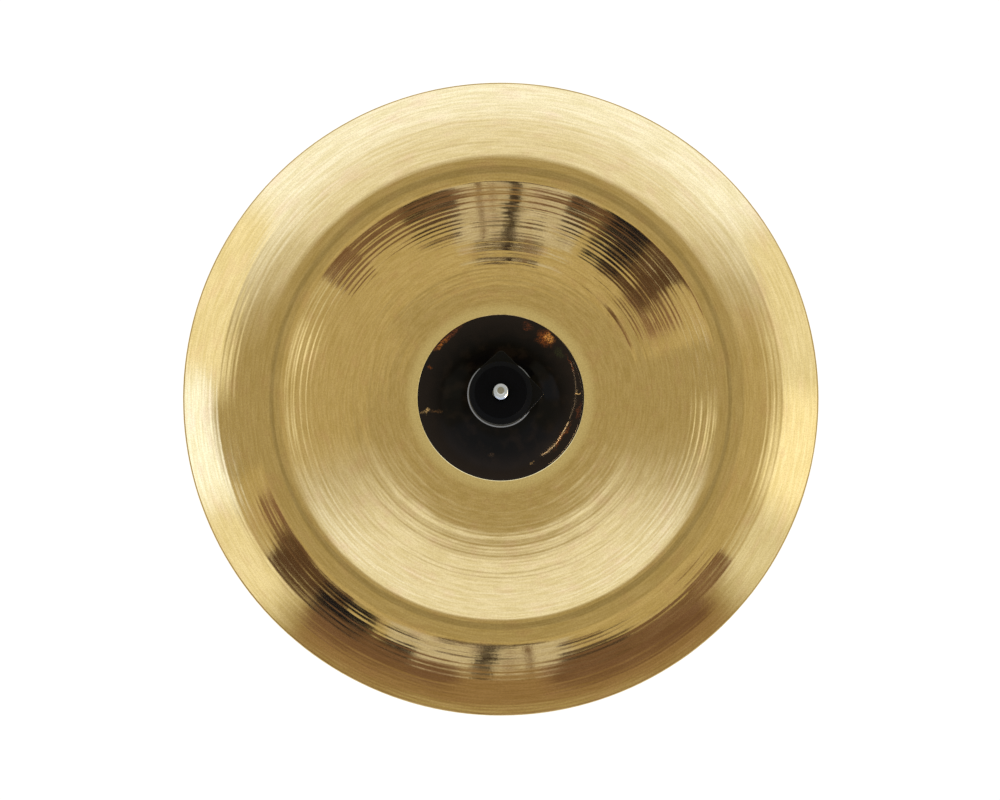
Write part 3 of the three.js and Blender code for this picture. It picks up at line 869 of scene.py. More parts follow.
@dataclass(frozen=True)
class Clouded(Finish):
    """An even colour with faint clouds and a fine grain that breaks up the gloss."""

    light: str
    dark: str
    gloss: Pair
    grain_size: float
    grain_depth: float

    def clouded(self, tree: Tree, cloud_size: float, detail: float, substance: dict[str, Any]) -> Socket:
        """Adds the clouds, the grain and the gloss.

        Args:
            tree: The material's node tree.
            cloud_size: The clouds' size, in millimetres.
            detail: How many finer layers the grain has.
            substance: What else the shader takes, by socket.

        Returns:
            The shader's output.
        """
        clouds = grain(tree, cloud_size, 3.0)
        fine = grain(tree, self.grain_size, detail)
        look = {
            "Base Color": add_node(tree, "Mix", {0: clouds, 6: self.dark, 7: self.light}, 2, **COLOURS),
            "Roughness": add_node(tree, "MapRange", [fine, 0.3, 0.7, *self.gloss], **SMOOTHLY),
            "Normal": add_node(tree, "Bump", {"Distance": self.grain_depth * MM, "Height": fine}),
            **substance,
        }
        return add_node(tree, "BsdfPrincipled", look)


@dataclass(frozen=True)
class Moulded(Clouded):
    """Injection-moulded plastic: an even colour with a faint cloud and a fine satin grain."""

    light: str = "#060608"
    dark: str = "#030304"
    gloss: Pair = (0.32, 0.4)
    grain_size: float = 0.35
    grain_depth: float = 0.004
    shine: float = 0.05
    glow: float = 0.0
    ior: float = 1.5

    def surface(self, tree: Tree) -> Socket:
        """Adds the plastic's own shine, and a glow from inside where it lets light in."""
        substance = {
            "IOR": self.ior,
            "Specular IOR Level": self.shine,
            "Subsurface Weight": self.glow,
            "Subsurface Scale": 1.5 * MM,
        }
        return self.clouded(tree, 5.0, 1.0, substance)


@dataclass(frozen=True)
class Plated(Clouded):
    """Plated steel: a metal skin with faint clouds and fine wiping marks."""

    light: str = "#D5D7D9"
    dark: str = "#C3C6C9"
    gloss: Pair = (0.06, 0.12)
    grain_size: float = 1.2
    grain_depth: float = 0.001

    def surface(self, tree: Tree) -> Socket:
        """Adds the metal."""
        return self.clouded(tree, 9.0, 3.0, {"Metallic": 1.0})


@dataclass(frozen=True)
class PressedFibre(Finish):
    """Pressed fibre: dull, with short threads lying every way, as in felt or a brake lining."""

    light: str = "#5B5955"
    dark: str = "#3A3937"
    thread_size: float = 0.5
    thread_depth: float = 0.12
    sheen: float = 0.3

    def surface(self, tree: Tree) -> Socket:
        """Adds threads on two scales, their relief and a soft sheen."""
        threads = grain(tree, self.thread_size, 4.0, (2.5, 1.0, 1.0))
        crossing = grain(tree, self.thread_size, 4.0, (1.0, 2.5, 1.6))
        both = add_node(tree, "Math", [threads, crossing], operation="MAXIMUM")
        tint = layered(tree, self.dark, self.light, both, (0.4, 0.7))
        tint = layered(tree, tint, self.dark, grain(tree, 4.0, 2.0), (0.35, 0.9))
        relief = {"Strength": 0.8, "Distance": self.thread_depth * MM, "Height": both}
        look = {
            "Base Color": tint,
            "Roughness": 0.95,
            "Sheen Weight": self.sheen,
            "Specular IOR Level": 0.2,
            "Normal": add_node(tree, "Bump", relief),
        }
        return add_node(tree, "BsdfPrincipled", look)


BRONZE = LathedBronze("lathed_bell_bronze")
BELL = RawBell("raw_bell_oxide")
SATIN_ABS = Moulded("satin_black_abs")
GLOSSY_ABS = Moulded("glossy_black_abs", gloss=(0.1, 0.16), shine=1.0, ior=1.66)
PRESSED_ABS = Moulded("pressed_key_black_abs", dark="#020203", gloss=(0.12, 0.18), shine=0.12)
NYLON = Moulded("natural_nylon", "#E9E5DA", "#DDD8CA", (0.4, 0.5), 0.5, 0.006, 0.5, 0.15)
ZINC = Plated("bright_zinc_plated_steel", "#BFC0BF", "#A6A7A6", (0.14, 0.24), 0.6, 0.002)
CHROME = Plated("polished_chrome_plate")
SPRING_STEEL = Plated("drawn_spring_steel", "#B9BBBD", "#9FA2A6", (0.22, 0.3), 0.4, 0.002)
FELT = PressedFibre("pressed_wool_felt")
LINING = PressedFibre("pressed_brake_lining", "#6A4630", "#3F2A1D", 0.7, 0.05, 0.0)


# Sub-assemblies


@dataclass
class CymbalPlate:
    """The bronze plate: bell, bow, crease and upturned flange."""

    wall: float = 1.05
    hole_radius: float = 6.0
    hole_edge: float = 0.25
    bell_radius: float = 46.2
    bell_height: float = 13.0
    foot_run: float = 0.4  # sharper than the solid's, whose rounding takes 3.2
    crease_radius: float = 128.0
    crease_reach: Pair = (6.0, 15.5)  # how far its rounding runs in and out
    bow_drop: float = 15.0
    flange_rise: float = 13.5
    bow_start_slope: float = 0.12
    flange_start_slope: float = 0.18
    bell_step: float = 0.08  # how far the raw bell stands above the lathed bow
    bell_line_step: float = 1.0
    ring_step: float = 0.42
    underside_step: float = 2.6
    segments: int = 180
    groove_pitch: float = 1.3
    groove_depth: float = 0.03
    groove_radius: float = 98.0  # where the cuts reach their full depth
    flange_groove_share: float = 0.45
    ripple_pitch: float = 5.2
    ripple_depth: float = 0.04
    hammer_size: float = 15.0
    hammer_depth: float = 0.07
    bell_dent_size: float = 8.0
    bell_dent_depth: float = 0.03
    bell_dent_fade: float = 4.0
    skin_overlap: float = 0.3  # how far the raw skin runs past the bell
    span: Span = spanned("cymbal_plate")

    def __post_init__(self) -> None:
        """Works out the bell's sphere and the levels that follow from it."""
        self.rim_radius = self.span.radius
        self.sphere = (self.bell_radius**2 + self.bell_height**2) / (2 * self.bell_height)
        self.sphere_z = self.span.top - math.sqrt(self.sphere**2 - self.hole_radius**2)
        self.foot_z = self.sphere_z + self.sphere - self.bell_height
        self.crease_z = self.foot_z - self.bow_drop

    def bell_z(self, radius: float) -> float:
        """Returns the height of the bell's sphere at a radius."""
        return self.sphere_z + math.sqrt(self.sphere**2 - radius**2)

    def bow_z(self, radius: float) -> float:
        """Returns the height of the bow, which steepens evenly outward."""
        run = self.crease_radius - self.bell_radius
        end_slope = 2 * self.bow_drop / run - self.bow_start_slope
        along = radius - self.bell_radius
        bend = (end_slope - self.bow_start_slope) / (2 * run)
        return self.foot_z - self.bow_start_slope * along - bend * along**2

    def flange_z(self, radius: float) -> float:
        """Returns the height of the flange, which also steepens outward."""
        run = self.rim_radius - self.crease_radius
        bend = (self.flange_rise - self.flange_start_slope * run) / run**2
        along = radius - self.crease_radius
        return self.crease_z + self.flange_start_slope * along + bend * along**2

    def smooth_z(self, radius: float) -> float:
        """Returns the height of the top surface without grooves."""
        foot_start, foot_end = self.bell_radius - self.foot_run, self.bell_radius + self.foot_run
        inward, outward = self.crease_reach
        crease_start, crease_end = self.crease_radius - inward, self.crease_radius + outward
        if radius <= foot_start:
            return self.bell_z(radius)
        if radius < foot_end:
            share = (radius - foot_start) / (foot_end - foot_start)
            return blended(self.bell_z(foot_start), self.foot_z, self.bow_z(foot_end), share)
        if radius <= crease_start:
            return self.bow_z(radius)
        if radius < crease_end:
            run, step = crease_end - crease_start, 0.01
            share = (radius - crease_start) / run
            fall = (self.bow_z(crease_start) - self.bow_z(crease_start - step)) * run / step
            rise = (self.flange_z(crease_end + step) - self.flange_z(crease_end)) * run / step
            left = (1 + 2 * share) * self.bow_z(crease_start) + share * fall
            right = (3 - 2 * share) * self.flange_z(crease_end) - (1 - share) * rise
            return (1 - share) ** 2 * left + share**2 * right
        return self.flange_z(radius)

    def relief(self, radius: float) -> float:
        """Returns the height that the lathe's grooves and ripples add at a radius."""
        grooves = noise.noise(Vector((radius / self.groove_pitch, 3.7, 0.0)))
        ripples = noise.noise(Vector((radius / self.ripple_pitch, 9.1, 0.0)))
        calm = min((radius - self.bell_radius) / self.ripple_pitch / 2, 1.0)
        cut = self.groove_depth * min((radius / self.groove_radius) ** 2, 1.0)
        if radius > self.crease_radius:
            cut *= self.flange_groove_share
        return calm * (grooves * cut + ripples * self.ripple_depth)

    def outline(self) -> Outline:
        """Returns the section's closed outline, from the hole over the rim and back."""
        first, last = self.hole_radius + self.hole_edge, self.rim_radius - self.wall / 2
        bell_run, bow_run = self.bell_radius - first, last - self.bell_radius
        bell_count, bow_count = round(bell_run / self.bell_line_step), round(bow_run / self.ring_step)
        bell = [first + bell_run * i / bell_count for i in range(bell_count + 1)]
        lathed = [self.bell_radius + bow_run * i / bow_count for i in range(1, bow_count + 1)]
        top = [(self.hole_radius, self.smooth_z(self.hole_radius) - self.hole_edge)]
        top += [(r, self.smooth_z(r)) for r in bell]
        top += [(r, self.smooth_z(r) - self.bell_step + self.relief(r)) for r in lathed]
        centre_z = self.smooth_z(last) - self.wall / 2
        rim = [(last + out, centre_z + up) for out, up in arc(self.wall / 2, math.pi / 3, -math.pi / 3, 4)]
        return top + rim + self.underside(first, last)

    def underside(self, first: float, last: float) -> Outline:
        """Returns the underside's points, from the rim back to the hole."""
        count, step = round((last - first) / self.underside_step), 0.2
        points: Outline = []
        for radius in [last + (first - last) * i / count for i in range(count + 1)]:
            rise = self.smooth_z(radius + step) - self.smooth_z(radius - step)
            tilt = math.atan(rise / (2 * step))
            down = self.wall * math.cos(tilt)
            points.append((radius + self.wall * math.sin(tilt), self.smooth_z(radius) - down))
        return [*points, (self.hole_radius, points[-1][1] + self.hole_edge)]

    def build(self) -> None:
        """Turns the plate, hammers it and gives bell and lathed part their finishes."""
        plate = turned("lathed_plate", self.outline(), self.segments)
        self.hammer(plate, "plate_hammering", self.hammer_size, self.hammer_depth)
        bell = plate.vertex_groups.new(name="bell")
        for vertex in plate.data.vertices:
            share = (self.bell_radius - vertex.co.xy.length) / self.bell_dent_fade
            bell.add([vertex.index], min(max(share, 0.0), 1.0), "REPLACE")
        self.hammer(plate, "bell_hammering", self.bell_dent_size, self.bell_dent_depth, bell.name)
        skin_radius = self.bell_radius + self.skin_overlap
        for face in plate.data.polygons:
            face.material_index = int(face.center.xy.length < skin_radius)
        deliver(plate, "cymbal_plate", "bronze", "cymbal", BRONZE, BELL)

    @staticmethod
    def hammer(plate: Piece, name: str, size: float, depth: float, group: str = "") -> None:
        """Gives the plate the shallow dents that a hammer leaves.

        Args:
            plate: The plate.
            name: The name of the pattern.
            size: The dents' width, in millimetres.
            depth: Their depth, in millimetres.
            group: The vertex group that they are kept to, or nothing for all.
        """
        dents = bpy.data.textures.new(name, "CLOUDS")
        dents.noise_scale = size
        dents.noise_depth = 1
        settings = {"texture": dents, "strength": depth, "mid_level": 0.5, "vertex_group": group}
        apply_modifier(plate, "DISPLACE", **settings)


@dataclass
class FeltStack:
    """The two felts and the sleeve that carries them."""

    edge: float = 1.6
    hole_radius: float = 5.6
    gap: float = 0.3
    dome_steps: int = 10
    wool_size: float = 1.1
    fuzz: float = 0.12
    sleeve_edge: float = 0.25
    flange_height: float = 1.6
    sleeve_bore: float = 4.3
    sleeve_radius: float = 5.3
    upper: Span = spanned("upper_felt")
    lower: Span = spanned("lower_felt")
    sleeve: Span = spanned("cymbal_sleeve")

    def felt(self, name: str, radius: float, flat_z: float, plate: CymbalPlate, side: int) -> Piece:
        """Makes a felt that is flat on the hardware and fitted to the bell.

        Args:
            name: The new piece's name.
            radius: Its outer radius.
            flat_z: The level of its flat face.
            plate: The plate that it is fitted to.
            side: 1 for a felt above the bell, -1 for one below.

        Returns:
            The new piece.
        """
        drop = self.gap if side > 0 else -self.gap - plate.wall
        radii = np.linspace(self.hole_radius + 0.2, radius - self.edge * 0.6, self.dome_steps).tolist()
        fitted = [(r, plate.bell_z(r) + drop) for r in radii]
        corners: list[Corner] = [
            *fitted,
            (radius, plate.bell_z(radius) + drop + side * self.edge * 0.35, self.edge),
            (radius, flat_z, self.edge),
            (self.hole_radius, flat_z, 0.5),
            (self.hole_radius, fitted[0][1], 0.2),
        ]
        piece = turned(name, corners, 128)
        with editing(piece):
            bpy.ops.mesh.subdivide(number_cuts=1)
        wool = bpy.data.textures.new(name + "_wool", "CLOUDS")
        wool.noise_scale = self.wool_size
        wool.noise_depth = 3
        return apply_modifier(piece, "DISPLACE", texture=wool, strength=self.fuzz, mid_level=0.62)

    def build(self, plate: CymbalPlate) -> None:
        """Makes the felts and the sleeve."""
        for name, node, span, side in (
            ("top_felt", "upper_felt", self.upper, 1),
            ("bottom_felt", "lower_felt", self.lower, -1),
        ):
            flat_z, fitted_z = (span.top, span.bottom)[::side]
            felt = self.felt(name, span.radius, flat_z, plate, side)
            deliver(felt, node, "felt", None, FELT)
            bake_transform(felt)
        edge, low, top = self.sleeve_edge, self.sleeve.bottom, self.sleeve.top
        flange_top = low + self.flange_height
        corners = [
            (self.sleeve_bore, low, edge),
            (self.sleeve.radius, low, edge),
            (self.sleeve.radius, flange_top, edge),
            (self.sleeve_radius, flange_top, edge),
            (self.sleeve_radius, top, edge),
            (self.sleeve_bore, top, edge),
        ]
        sleeve = turned("nylon_sleeve", corners, 72)
        deliver(sleeve, "cymbal_sleeve", "white_nylon", "felt_stack", NYLON)


@dataclass
class RodGroup:
    """The threaded rod, its lock nut and the washer that carries the sleeve."""

    pitch: float = 1.25
    tip_radius: float = 2.0
    neck_radius: float = 3.0
    tip_height: float = 0.8
    neck_height: float = 1.4
    nut_flats: float = 13.0
    bore: float = 4.3
    mouth: float = 0.6
    washer_edge: float = 0.7
    rod: Span = spanned("threaded_rod")
    nut: Span = spanned("rod_lock_nut")
    washer: Span = spanned("seat_washer")

    def build(self) -> None:
        """Makes the three pieces."""
        low, top = self.rod.bottom, self.rod.top
        rod = threaded("threaded_bar", self.rod.radius, self.pitch, (low, top))
        spare, neck_z = self.rod.radius + 0.2, top - self.tip_height
        blank = [
            (0.0, low - OVERRUN),
            (self.neck_radius, low - OVERRUN),
            (self.neck_radius, low),
            (spare, low + self.neck_height),
            (spare, neck_z - self.neck_height),
            (self.neck_radius, neck_z),
            (self.tip_radius, top),
            (0.0, top),
        ]
        combine(rod, Joinery.KEEP, turned("rod_blank", blank, 64))
        deliver(rod, "threaded_rod", "steel", "tilting_rod", ZINC)

        ends = (self.nut.bottom, self.nut.top)
        nut = hexagonal("lock_nut", self.nut_flats, ends, Axis.Z)
        mouths = (self.mouth, self.mouth)
        combine(nut, Joinery.CUT, bore("nut_bore", self.bore, ends, mouths=mouths))
        deliver(nut, "rod_lock_nut", "steel", "tilting_rod", ZINC)

        radii, ends = (self.bore, self.washer.radius), (self.washer.bottom, self.washer.top)
        washer = ring("cup_washer", radii, ends, (0.2, self.washer_edge), 128)
        deliver(washer, "seat_washer", "chrome", "tilting_rod", CHROME)


@dataclass
class ReleaseNut:
    """The quick-release nut, drawn along its push direction and turned at the end."""

    turn: float = math.radians(44.5)
    bore: float = 4.6
    cap_radius: float = 17.6
    cap_top_radius: float = 14.7
    bevel_height: float = 2.6
    crown: float = 0.3
    skirt_radius: float = 18.7
    skirt_height: float = 3.8
    skirt_edge: float = 0.85
    rim_fall: float = 0.52  # how far the rim's flat bevel falls, a slope of 36 degrees
    rim_start: float = 0.1
    rim_end: float = 0.05
    wall: float = 3.1
    wall_front: float = -2.0
    post_radius: float = 2.0
    face_u: float = 17.6
    face_half: float = 17.4
    corner: float = 2.6
    side_reach: float = 18.2
    shoulder_u: float = 1.5
    tongue_half: float = 8.5
    tongue_back: float = -9.5
    tongue_corner: float = 3.0
    window_length: float = 7.2
    window_width: float = 6.0
    slide_edge: float = 0.45
    pocket_radius: float = 1.85
    pocket_depth: float = 1.0
    wire: float = 0.5
    coil: float = 2.6
    coils: float = 3.5
    travel: float = 2.5
    screw_u: float = -6.0
    screw_v: float = 11.0
    screw_radius: float = 1.0
    screw_chamfer: float = 0.4
    head_radius: float = 1.9
    head_height: float = 1.3
    recess: Pair = (1.1, 0.25)  # half the length and half the width of one slot of the cross
    recess_depth: float = 0.7
    clearance: float = 0.3
    skirt: Span = spanned("nut_skirt")
    slide: Span = spanned("push_slide")
    cap: Span = spanned("nut_cap")
    screw: Span = spanned("nut_screw_1")

    @property
    def screw_places(self) -> list[Vector]:
        """Returns where the two screws' axes run."""
        return [Vector((self.screw_u, side * self.screw_v, 0)) for side in (-1, 1)]

    def build_skirt(self) -> None:
        """Makes the skirt with the curved wall behind the slide and the screw posts."""
        low, top = self.skirt.bottom, self.skirt.bottom + self.skirt_height
        corners = [
            (self.bore, low, 0.3),
            (self.skirt_radius, low, 0.3),
            (self.skirt_radius, top - self.skirt_edge, 0.2),
            (self.skirt_radius - self.rim_end, top - self.rim_fall, 0.15),
            (self.skirt_radius - self.skirt_edge + self.rim_start, top, 0.15),
            (self.bore, top, 0.3),
        ]
        skirt = turned("nut_base", corners, 160, steps=8)
        inner = self.cap_radius - self.wall
        outer_angle = math.acos(self.wall_front / self.cap_radius)
        inner_angle = math.acos(self.wall_front / inner)
        wall_line = arc(self.cap_radius, outer_angle, FULL_TURN - outer_angle, 64)
        wall_line += arc(inner, FULL_TURN - inner_angle, inner_angle, 48)
        post_line = arc(self.post_radius, 0, FULL_TURN * 35 / 36, 35)
        sunk, high = top - self.skirt_edge, self.skirt.top
        posts = [prism("post", post_line, sunk, high, at=at) for at in self.screw_places]
        combine(skirt, Joinery.ADD, prism("nut_wall", wall_line, sunk, high), *posts)
        combine(skirt, Joinery.CUT, *[self.screw_hole(at) for at in self.screw_places])
        deliver(skirt, "nut_skirt", "black_plastic", "release_nut", GLOSSY_ABS, turn=self.turn)

    def screw_hole(self, at: Vector) -> Piece:
        """Makes the cutter of a stepped hole for the cap screw whose axis runs at a place."""
        low, high = self.skirt.bottom - OVERRUN, self.skirt.top + OVERRUN
        roof = self.skirt.bottom + self.head_height + self.clearance
        head, shank = self.head_radius + self.clearance, self.screw_radius + self.clearance
        outline = [(0.0, low), (head, low), (head, roof), (shank, roof), (shank, high), (0.0, high)]
        return turned("screw_hole", outline, 36, at=at)

    def build_slide(self) -> None:
        """Makes the slab that is pressed to free the nut."""
        low, top = self.slide.bottom, self.slide.top
        half, back = self.tongue_half, self.tongue_back
        right = [
            (self.shoulder_u, half, 0.4),
            (self.shoulder_u, self.side_reach, 0.5),
            (self.face_u, self.face_half, self.corner),
        ]
        left = [(u, -v, r) for u, v, r in reversed(right)]
        tail = [(back, -half, self.tongue_corner), (back, half, self.tongue_corner)]
        slide = prism("push_slab", [*right, *left, *tail], low, top, steps=8)
        rounded(slide, self.slide_edge)
        window = oblong(self.window_length, self.window_width, 0.6)
        opening = prism("window", window, low - OVERRUN, top + OVERRUN)
        ends, middle = (back - OVERRUN, back + self.pocket_depth), Vector((0, 0, (low + top) / 2))
        pocket = bore("pocket", self.pocket_radius, ends, 48, Axis.X, middle)
        combine(slide, Joinery.CUT, opening, pocket)
        deliver(slide, "push_slide", "black_plastic", "release_slide", PRESSED_ABS, turn=self.turn)

    def build_cap(self) -> None:
        """Makes the bevelled cap."""
        low, top = self.cap.bottom, self.cap.top
        shoulder = top - self.crown
        corners = [
            (self.bore, low, 0.2),
            (self.cap_radius, low, 0.25),
            (self.cap_radius, shoulder - self.bevel_height, 0.5),
            (self.cap_top_radius, shoulder, 0.7),
            (self.bore, top, 0.5),
        ]
        cap = turned("bevelled_cap", corners, 160, steps=6)
        ends = (low - OVERRUN, self.screw.top + self.clearance)
        for at in self.screw_places:
            hole = bore("hole", self.screw_radius + self.clearance, ends, 36, at=at)
            combine(cap, Joinery.CUT, hole)
        deliver(cap, "nut_cap", "black_plastic", "release_nut", SATIN_ABS, turn=self.turn)

    def build_screws(self) -> None:
        """Makes the two cap screws, with a cross recess in their heads below."""
        low, top = self.screw.bottom, self.screw.top
        corners = [
            (0.0, low),
            (self.head_radius, low, 0.5),
            (self.head_radius, low + self.head_height, 0.1),
            (self.screw_radius, low + self.head_height),
            (self.screw_radius, top - self.screw_chamfer),
            (self.screw_radius - self.screw_chamfer, top),
            (0.0, top),
        ]
        screw = turned("cap_screw_1", corners, 48)
        for slot in (self.recess, self.recess[::-1]):
            blade = prism("blade", oblong(*slot), low - OVERRUN, low + self.recess_depth)
            combine(screw, Joinery.CUT, blade)
        first, second = self.screw_places
        other = twin(screw, "cap_screw_2", second)
        for number, piece in enumerate((shifted(screw, first), other), 1):
            node = f"nut_screw_{number}"
            deliver(piece, node, "steel", "release_nut", ZINC, turn=self.turn)

    def build_spring(self) -> None:
        """Winds the spring that pushes the slide out."""
        start = self.wall - self.cap_radius + self.clearance
        end = self.tongue_back + self.pocket_depth - self.clearance
        circle = arc(self.wire / 2, 0, FULL_TURN * 11 / 12, 11)
        section = [Vector((across, self.coil / 2 + up, 0)) for across, up in circle]
        spring = drawn("coil_spring", section, closed=True)
        steps = int(28 * self.coils)
        apply_modifier(
            spring,
            "SCREW",
            axis="X",
            angle=FULL_TURN * self.coils,
            screw_offset=end - start - self.wire,
            steps=steps,
            render_steps=steps,
        )
        with editing(spring, seal=True):
            bpy.ops.mesh.fill_holes(sides=0)
        middle_z = (self.slide.bottom + self.slide.top) / 2
        shifted(spring, Vector((start + self.wire / 2, 0, middle_z)))
        deliver(spring, "slide_spring", "steel", "release_nut", SPRING_STEEL, turn=self.turn)
        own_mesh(spring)

    def build(self) -> None:
        """Makes all pieces of the nut and dresses the half nut inside it."""
        self.build_skirt()
        self.build_slide()
        self.build_cap()
        self.build_screws()
        self.build_spring()
        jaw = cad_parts["half_nut"]
        jaw.data.materials.clear()
        jaw.data.materials.append(ZINC.material())
        log.info("half_nut: the frame's own solid, dressed as steel")


@dataclass
class TiltingHead:
    """The drum and arm that carry the rod, and the two discs that brake them."""

    drum_radius: float = 12.5
    drum_half: float = 9.0
    arm_radius: float = 8.5
    arm_top_radius: float = 10.0
    arm_top_height: float = 3.0
    flare: float = 3.0
    edge: float = 1.0
    bolt_bore: float = 4.3
    rod_bore: float = 4.3
    rod_depth: float = 15.0
    mouth: float = 0.5
    head: Span = spanned("tilter_head")
    disc: Span = spanned("friction_disc_left")

    def build(self) -> None:
        """Makes the head and its friction discs."""
        centre = Vector((0, 0, self.head.bottom + self.drum_radius))
        half, top = self.drum_half, self.head.top
        size = {"axis": Axis.X, "at": centre}
        head = ring("tilt_drum", (0.0, self.drum_radius), (-half, half), (0.0, self.edge), 128, **size)
        flare_z = top - self.arm_top_height
        arm_line = [
            (0.0, centre.z),
            (self.arm_radius, centre.z),
            (self.arm_radius, flare_z - self.flare, 3.0),
            (self.arm_top_radius, flare_z, 1.5),
            (self.arm_top_radius, top, self.edge * 0.7),
            (0.0, top),
        ]
        combine(head, Joinery.ADD, turned("arm", arm_line, 96))
        reach, socket = half + OVERRUN, (top - self.rod_depth, top)
        bolt_hole = bore("bolt_bore", self.bolt_bore, (-reach, reach), **size)
        rod_hole = bore("rod_socket", self.rod_bore, socket, mouths=(0.0, self.mouth))
        combine(head, Joinery.CUT, bolt_hole, rod_hole)
        deliver(head, "tilter_head", "chrome", "tilting_rod", CHROME)

        radii, ends = (self.bolt_bore, self.disc.height / 2), (self.disc.low.x, self.disc.high.x)
        left = ring("brake_disc_left", radii, ends, (0.1, 0.3), 96, **size, steps=3)
        right = twin(left, "brake_disc_right", Vector((-sum(ends), 0, 0)))
        deliver(left, "friction_disc_left", "fibre", "stand_base", LINING)
        deliver(right, "friction_disc_right", "fibre", "stand_base", LINING)


@dataclass
class ForkedBase:
    """The fork with its collar, the bolt with washer and wing nut, and the stem with its pin."""

    cheek_radius: float = 12.5
    cheek_inner: float = 10.8
    cheek_foot: float = 1.5
    collar_radius: float = 11.5
    collar_top: float = 76.0
    bridge_height: float = 5.0
    bridge_corner: float = 2.0
    edge: float = 1.2
    cast_edge: float = 0.7
    axis_z: float = 94.5
    bolt_bore: float = 4.3
    hex_flats: float = 13.0
    hex_recess: float = 2.5
    clearance: float = 0.3
    head_height: float = 5.3
    bolt_radius: float = 4.0
    pitch: float = 1.25
    thread_start: float = 14.0
    thread_seat: Pair = (0.5, 0.3)  # how far the plain shank ends before it and narrows into it
    thread_tip: Pair = (1.1, 0.9)  # the length and depth of the chamfer at its end
    hub_radius: float = 8.0
    hub_end_radius: float = 6.5
    hub_height: float = 10.0
    nut_mouth: float = 0.5
    wing_thickness: float = 3.4
    wing_reach: float = 20.0
    wing_tip: float = 5.0
    wing_lean: float = 9.0
    wing_root: float = 1.0
    wing_curve: float = 5.0
    wing_edge: float = 1.3
    wing_steps: int = 12
    stem_bore: float = 6.65
    stem_mouth: float = 0.6
    stem_chamfer: float = 1.0
    pin_bore: float = 2.3
    base: Span = spanned("tilter_base")
    bolt: Span = spanned("tilt_bolt")
    washer: Span = spanned("wing_washer")
    wing: Span = spanned("wing_nut")
    stem: Span = spanned("stem")
    pin: Span = spanned("stem_pin")

    def __post_init__(self) -> None:
        """Works out where the tilt axis and the pin run."""
        self.axis_place = Vector((0, 0, self.axis_z))
        self.pin_place = Vector((0, 0, (self.pin.bottom + self.pin.top) / 2))

    def pin_hole(self) -> Piece:
        """Makes the cutter of the pin's hole, which runs along Y."""
        reach = self.collar_radius + OVERRUN
        return bore("pin_hole", self.pin_bore, (-reach, reach), 48, Axis.Y, self.pin_place)

    def build_fork(self) -> None:
        """Makes the fork from its collar, bridge and two cheeks."""
        low, bridge_top = self.base.bottom, self.collar_top + self.bridge_height
        collar_line = [
            (0.0, low),
            (self.collar_radius, low, self.edge),
            (self.collar_radius, bridge_top - self.edge),
            (0.0, bridge_top - self.edge),
        ]
        fork = turned("fork_casting", collar_line, 128)
        outer, deep = self.base.high.x, self.cheek_radius
        block = oblong(outer, deep, self.bridge_corner)
        bridge = prism("bridge", block, self.collar_top, bridge_top)
        foot_z = self.collar_top + self.cheek_foot
        dome = [(across, self.axis_z + up) for across, up in arc(deep, 0, math.pi, 48)]
        profile = [*dome, (-deep, foot_z), (deep, foot_z)]
        sides = ((-outer, -self.cheek_inner), (self.cheek_inner, outer))
        cheeks = [prism("cheek", profile, *ends, Axis.X) for ends in sides]
        combine(fork, Joinery.ADD, *[rounded(part, self.cast_edge) for part in (bridge, *cheeks)])
        reach = outer + OVERRUN
        across_corners = (self.hex_flats + 2 * self.clearance) / math.sqrt(3)
        pocket = arc(across_corners, 0, FULL_TURN * 5 / 6, 5)
        stem = (low, self.stem.top + self.clearance)
        combine(
            fork,
            Joinery.CUT,
            bore("stem_bore", self.stem_bore, stem, mouths=(self.stem_mouth, 0.0)),
            bore("bolt_bore", self.bolt_bore, (-reach, reach), 64, Axis.X, self.axis_place),
            prism("pocket", pocket, -reach, self.hex_recess - outer, Axis.X, self.axis_place),
            self.pin_hole(),
        )
        deliver(fork, "tilter_base", "chrome", "stand_base", CHROME)

    def build_bolt(self) -> None:
        """Makes the hexagon bolt, threaded where it sticks out, and its washer."""
        head_end, tip, turn = self.bolt.low.x + self.head_height, self.bolt.high.x, self.thread_start
        ends = (self.bolt.low.x, head_end)
        bolt = sealed(hexagonal("hinge_bolt", self.hex_flats, ends, Axis.X, self.axis_place))
        root, (before, after) = self.bolt_radius - THREAD_DEPTH * self.pitch, self.thread_seat
        shank = [
            (0.0, head_end - 1),
            (self.bolt_radius, head_end - 1),
            (self.bolt_radius, turn - before),
            (root, turn + after),
            (0.0, turn + after),
        ]
        sealed(combine(bolt, Joinery.ADD, turned("shank", shank, 64, Axis.X, self.axis_place)))
        thread = threaded("thread", self.bolt_radius, self.pitch, (turn, tip), Axis.X)
        spare, (chamfer, drop) = self.bolt_radius + 0.2, self.thread_tip
        blank = [
            (0.0, turn - OVERRUN),
            (spare, turn - OVERRUN),
            (spare, tip - chamfer),
            (self.bolt_radius - drop, tip),
            (0.0, tip),
        ]
        sealed(combine(thread, Joinery.KEEP, turned("thread_blank", blank, 64, Axis.X)))
        sealed(combine(bolt, Joinery.ADD, shifted(thread, self.axis_place)))
        deliver(bolt, "tilt_bolt", "steel", "stand_base", ZINC)

        radii, ends = (self.bolt_bore, self.washer.height / 2), (self.washer.low.x, self.washer.high.x)
        washer = ring("flat_washer", radii, ends, (0.15, 0.5), 96, Axis.X, self.axis_place)
        deliver(washer, "wing_washer", "steel", "stand_base", ZINC)

